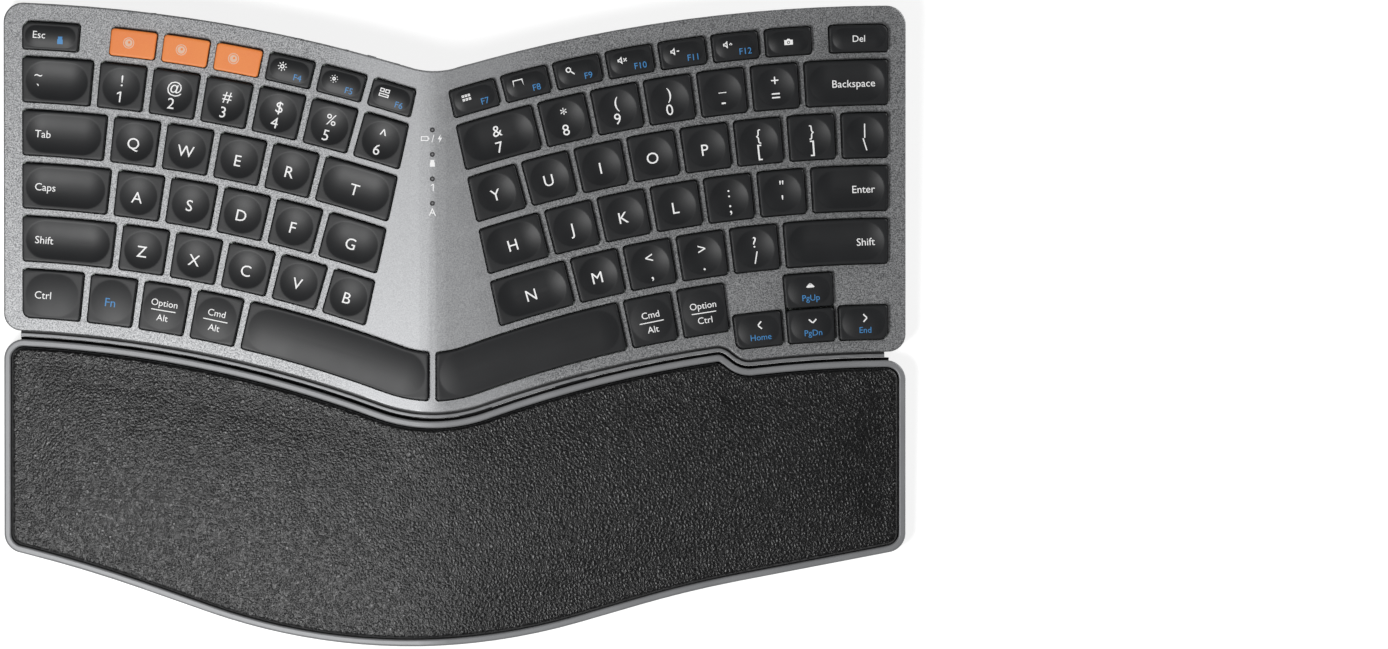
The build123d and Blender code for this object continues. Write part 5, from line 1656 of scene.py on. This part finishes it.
@dataclass
class TrimStrip:
    """Bright strip along the board's front edge, rounded over, with a dark seam between it and the deck.

    The seam's floor is the top of a near-black base under the strip, which paints the seam as shade.
    """

    seam: float = 0.55
    seam_depth: float = 1.0
    base_height: float = 1.5
    base_setback: float = 0.05
    width: float = 1.8
    height: float = 3.2
    drop: float = 0.35
    rounding: float = 0.25
    finish: MetalFinish = MetalFinish("trim_metal", linear(150, 151, 153), 0.6, (0.02, 1, 1))

    def is_lip(self, face: bmesh.types.BMFace) -> bool:
        """Whether a face is the lip's top and not the foot's, which lies under the plate."""
        x, y, z = face.calc_center_median() / MM
        return z > float(deck_height(np.array(x), np.array(y))) - 2 * self.drop

    def section(self) -> np.ndarray:
        """Cross-section as distances from the inner edge and heights under the top: two quarter circles over walls."""
        turn = np.linspace(0, pi / 2, 5)
        inner = np.column_stack((self.seam + self.rounding * (1 - np.cos(turn)), self.rounding * (np.sin(turn) - 1)))
        outer = np.column_stack((self.width - self.rounding * (1 - np.sin(turn)), self.rounding * (np.cos(turn) - 1)))
        foot = np.array(((self.width, -self.height), (self.seam, -self.height)))
        return np.vstack((inner, outer, foot))

    def build(self) -> None:
        """Sweep the section along the inner edge, and under it a near-black base that closes the seam and paints its
        shade.
        """
        top = node_outline("front_trim", lambda face: face.normal.z > 0.9 and self.is_lip(face))
        line, normal = spaced(front_and_rear(top)[1])
        strip = swept(line, normal, self.section() - (0, self.drop))
        fit_piece(strip.build("trim_strip", self.finish.make(), 30.0), "case", ["front_trim"])
        far, top = self.width - self.base_setback, -self.drop - self.seam_depth
        low = top - self.base_height
        base = np.array(((-self.seam, low), (-self.seam, top), (far, top), (far, low)))
        # Painted shade: the near-black base keeps the seam dark.
        plastic = PlasticFinish("seam_shade_plastic", linear(12, 12, 13), 0.6).make()
        fit_piece(swept(line, normal, base).build("trim_shade_base", plastic), "case")


@dataclass
class CaseLip:
    """Near-black lip of the bottom cover that shows as a thin line round the painted plate: partly the cover's edge,
    partly painted shade along the plate's border.
    """

    reach: float = 0.3
    root: float = 0.1
    drop: float = 0.3
    height: float = 1.5
    # Near-black, darker than the case: partly painted shade along the plate's edge.
    plastic: PlasticFinish = PlasticFinish("case_lip_shade_plastic", linear(14, 14, 15), 0.6)

    def build(self) -> None:
        """Sweep a thin section round the plate's outline.

        A point of the outline moves outwards along the mean normal of its two sides, n1 + n2 over its length, by the
        distance over the cosine of half of the turn.
        """
        outline = node_outline("top_plate", lambda face: face.normal.z > 0.9, 0.75)
        run = np.roll(outline, -1, axis=0) - outline
        normal = np.column_stack((run[:, 1], -run[:, 0])) / np.hypot(run[:, 0], run[:, 1])[:, None]
        mean = normal + np.roll(normal, 1, axis=0)
        mean /= np.hypot(mean[:, 0], mean[:, 1])[:, None]
        spread = 1 / np.maximum((mean * normal).sum(axis=1), 0.5)
        far = outline + mean * (spread * self.reach)[:, None]
        near = outline - mean * self.root
        top, low = -self.drop, -self.drop - self.height
        loops = [np.column_stack((place, deck_height(*place.T) + lift)) * MM
                 for place, lift in ((near, low), (near, top), (far, top), (far, low))]
        size = len(outline)
        first = np.arange(size)
        after = np.roll(first, -1)
        faces = np.vstack([np.column_stack((first + a * size, first + b * size, after + b * size, after + a * size))
                           for a, b in ((0, 1), (1, 2), (2, 3), (3, 0))])
        mesh = Mesh()
        mesh.add(np.concatenate(loops), faces[:, ::-1].tolist())
        fit_piece(mesh.build("case_lip", self.plastic.make()), "case")


# Signs beside the indicator lights


@dataclass
class LightSigns:
    """White signs printed on the deck, one in front of each indicator light."""

    legends: Legends
    first: float = 43.4
    pitch: float = 8.76
    drop: float = 3.1
    signs: tuple[tuple[int, str, float, float], ...] = (
        (3, "<cell>", -2.6, 3.0), (3, "/", 0.2, 2.6), (3, "<bolt>", 2.7, 3.2), (2, "<lock>", 0.0, 2.6),
        (1, "<one>", 0.0, 2.6), (0, "A", 0.0, 2.6))

    @property
    def places(self) -> tuple[float, ...]:
        """Places y of the lights, from the front."""
        return tuple(self.first + count * self.pitch for count in range(4))

    def build(self) -> None:
        """Print the four signs on the ridge, as high as the deck's rounded top is there."""
        def place(x: np.ndarray, y: np.ndarray, lift: float) -> np.ndarray:
            """Points on the ridge."""
            px = SPLIT_X + x
            return np.column_stack((px, y, deck_height(px, y) + lift)) * MM

        mesh = Mesh()
        rows = self.places
        for row, text, x, height in self.signs:
            self.legends.add(mesh, Mark(text, x, rows[row] - self.drop, height), place)
        fit_piece(mesh.build("light_signs", self.legends.ink.make()), "case")


# Carried-over CAD pieces


@dataclass
class CarriedPieces:
    """CAD nodes that stay as they are and get their finishes."""

    light_places: tuple[float, ...]

    def finishes(self) -> dict[str, bpy.types.Material]:
        """Finish of each node that stays."""
        case_plastic = PlasticFinish("case_plastic", linear(40, 41, 43), 0.5).make()
        rim = PlasticFinish("rim_plastic", linear(134, 135, 137), 0.46, 0.3, 0.006, 0.2, 0.4).make()
        tray = PlasticFinish("tray_plastic", linear(30, 30, 32), 0.55).make()
        foot = PlasticFinish("foot_plastic", linear(40, 41, 43), 0.5).make()
        links = PlasticFinish("link_plastic", linear(222, 222, 218), 0.4).make()
        steel = MetalFinish("sheet_steel", linear(150, 152, 156), 0.34).make()
        screw = MetalFinish("screw_steel", linear(120, 122, 126), 0.28, (1, 1, 1)).make()
        magnet = MetalFinish("magnet_plating", linear(170, 170, 172), 0.22, (1, 1, 1)).make()
        rubber = RubberFinish("pad_rubber", linear(28, 28, 29)).make()
        dome = RubberFinish("dome_rubber", linear(190, 192, 190)).make()
        film = PlasticFinish("membrane_film", linear(176, 186, 178), 0.25).make()
        wrap = PlasticFinish("battery_wrap", linear(54, 92, 140), 0.35).make()
        return {"top_plate": PaintFinish().make(), "bottom_cover": case_plastic,
                "switch_plates": steel, "membranes": film, "rubber_domes": dome, "scissor_frames": links,
                "main_board": BoardFinish("circuit_board").make(), "battery": wrap, "usb_port": screw,
                "power_slider": foot, "indicator_lights": LampFinish("light_pipe", SPLIT_X, self.light_places).make(),
                "case_screws": screw, "case_pads": rubber, "case_magnets": magnet, "left_foot": foot,
                "right_foot": foot, "rest_tray": tray, "rest_carrier": tray, "rest_rim": rim, "rest_pads": rubber,
                "rest_magnets": magnet}

    def build(self) -> None:
        """Put each finish on its node."""
        for name, material in self.finishes().items():
            node = frame["nodes"][name]
            node.data.materials.clear()
            node.data.materials.append(material)
            log.info("%s wears %s", name, material.name)


# Studio


@dataclass
class Studio:
    """Pale floor, a lamp at the front left, a low one at the rear right, and a camera that looks straight down."""

    centre_x: float = 0.0859
    camera_height: float = 5.0
    view_width: float = 0.4976
    deck_height: float = 0.022
    sensor: float = 36.0
    floor_size: float = 6.0
    world_strength: float = 0.08
    floor_share: float = 0.5
    floor_glow: float = 0.8
    key_place: tuple[float, float, float] = (-0.27, -0.27, 0.82)
    key_power: float = 6.0
    key_size: float = 0.25
    rim_place: tuple[float, float, float] = (0.95, 0.55, 0.30)
    rim_power: float = 5.0
    rim_size: float = 0.4

    def floor(self) -> None:
        """White floor that keeps the object's shadow, with a glow that only the camera and reflections see."""
        sheet = ShaderSheet("floor_white")
        path = sheet.node("ShaderNodeLightPath")
        seen = sheet.out("ShaderNodeMath", {"operation": "MAXIMUM"},
                         {0: path.outputs["Is Camera Ray"], 1: path.outputs["Is Glossy Ray"]})
        seen = sheet.out("ShaderNodeMath", {"operation": "MAXIMUM"}, {0: seen, 1: path.outputs["Is Transmission Ray"]})
        diffuse = sheet.node("ShaderNodeBsdfDiffuse", {}, {"Color": (self.floor_share,) * 3})
        glow = sheet.node("ShaderNodeEmission", {},
                          {"Color": (1.0, 1.0, 1.0), "Strength": seen * self.floor_glow})
        both = sheet.node("ShaderNodeAddShader", {}, {0: diffuse.outputs[0], 1: glow.outputs[0]})
        sheet.node("ShaderNodeOutputMaterial", {}, {"Surface": both.outputs[0]})
        mesh = Mesh()
        half = self.floor_size / 2
        mesh.add(np.array(((-half, -half, 0), (half, -half, 0), (half, half, 0), (-half, half, 0))), [(0, 1, 2, 3)])
        mesh.build("floor", sheet.material)

    def world(self) -> None:
        """Even grey light from all round, white where it is seen."""
        world = bpy.data.worlds.new("studio")
        world.use_nodes = True
        tree = world.node_tree
        tree.nodes.clear()
        path = tree.nodes.new("ShaderNodeLightPath")
        room = tree.nodes.new("ShaderNodeBackground")
        room.inputs["Strength"].default_value = self.world_strength
        room.inputs["Color"].default_value = (1, 1, 1, 1)
        white = tree.nodes.new("ShaderNodeBackground")
        white.inputs["Color"].default_value = (1, 1, 1, 1)
        mix = tree.nodes.new("ShaderNodeMixShader")
        out = tree.nodes.new("ShaderNodeOutputWorld")
        tree.links.new(path.outputs["Is Camera Ray"], mix.inputs[0])
        tree.links.new(room.outputs[0], mix.inputs[1])
        tree.links.new(white.outputs[0], mix.inputs[2])
        tree.links.new(mix.outputs[0], out.inputs[0])
        bpy.context.scene.world = world

    def lamp(self, name: str, place: Sequence[float], power: float, size: float) -> None:
        """Square area lamp that looks at the keyboard."""
        light = bpy.data.lights.new(name, "AREA")
        light.energy = power
        light.size = size
        lamp = bpy.data.objects.new(name, light)
        lamp.location = place
        lamp.rotation_euler = (-Vector(place)).to_track_quat("-Z", "Y").to_euler()
        bpy.context.scene.collection.objects.link(lamp)

    def camera(self) -> None:
        """Camera over the frame's middle, looking straight down with +Y up in the picture."""
        data = bpy.data.cameras.new("camera")
        data.sensor_width = self.sensor
        data.lens = self.sensor * (self.camera_height - self.deck_height) / self.view_width
        data.clip_start, data.clip_end = 0.05, 20.0
        camera = bpy.data.objects.new("camera", data)
        camera.location = (self.centre_x, 0.0, self.camera_height)
        bpy.context.scene.collection.objects.link(camera)
        bpy.context.scene.camera = camera

    def build(self) -> None:
        """Set the studio up."""
        bpy.context.scene.view_settings.view_transform = "Standard"
        self.camera()
        self.floor()
        self.world()
        self.lamp("key_light", self.key_place, self.key_power, self.key_size)
        self.lamp("rim_light", self.rim_place, self.rim_power, self.rim_size)


def main() -> None:
    """Build the keyboard's looks in order."""
    Studio().build()
    keys = Layout().keys()
    caps = Keycaps()
    caps.build(keys)
    legends = Legends()
    KeyLegends(legends, caps).build(keys)
    signs = LightSigns(legends)
    signs.build()
    CarriedPieces(signs.places).build()
    TrimStrip().build()
    CaseLip().build()
    RestSlitShade().build()
    PalmPad().build()


if __name__ == "__main__":
    logging.basicConfig(level=logging.INFO)
    main()
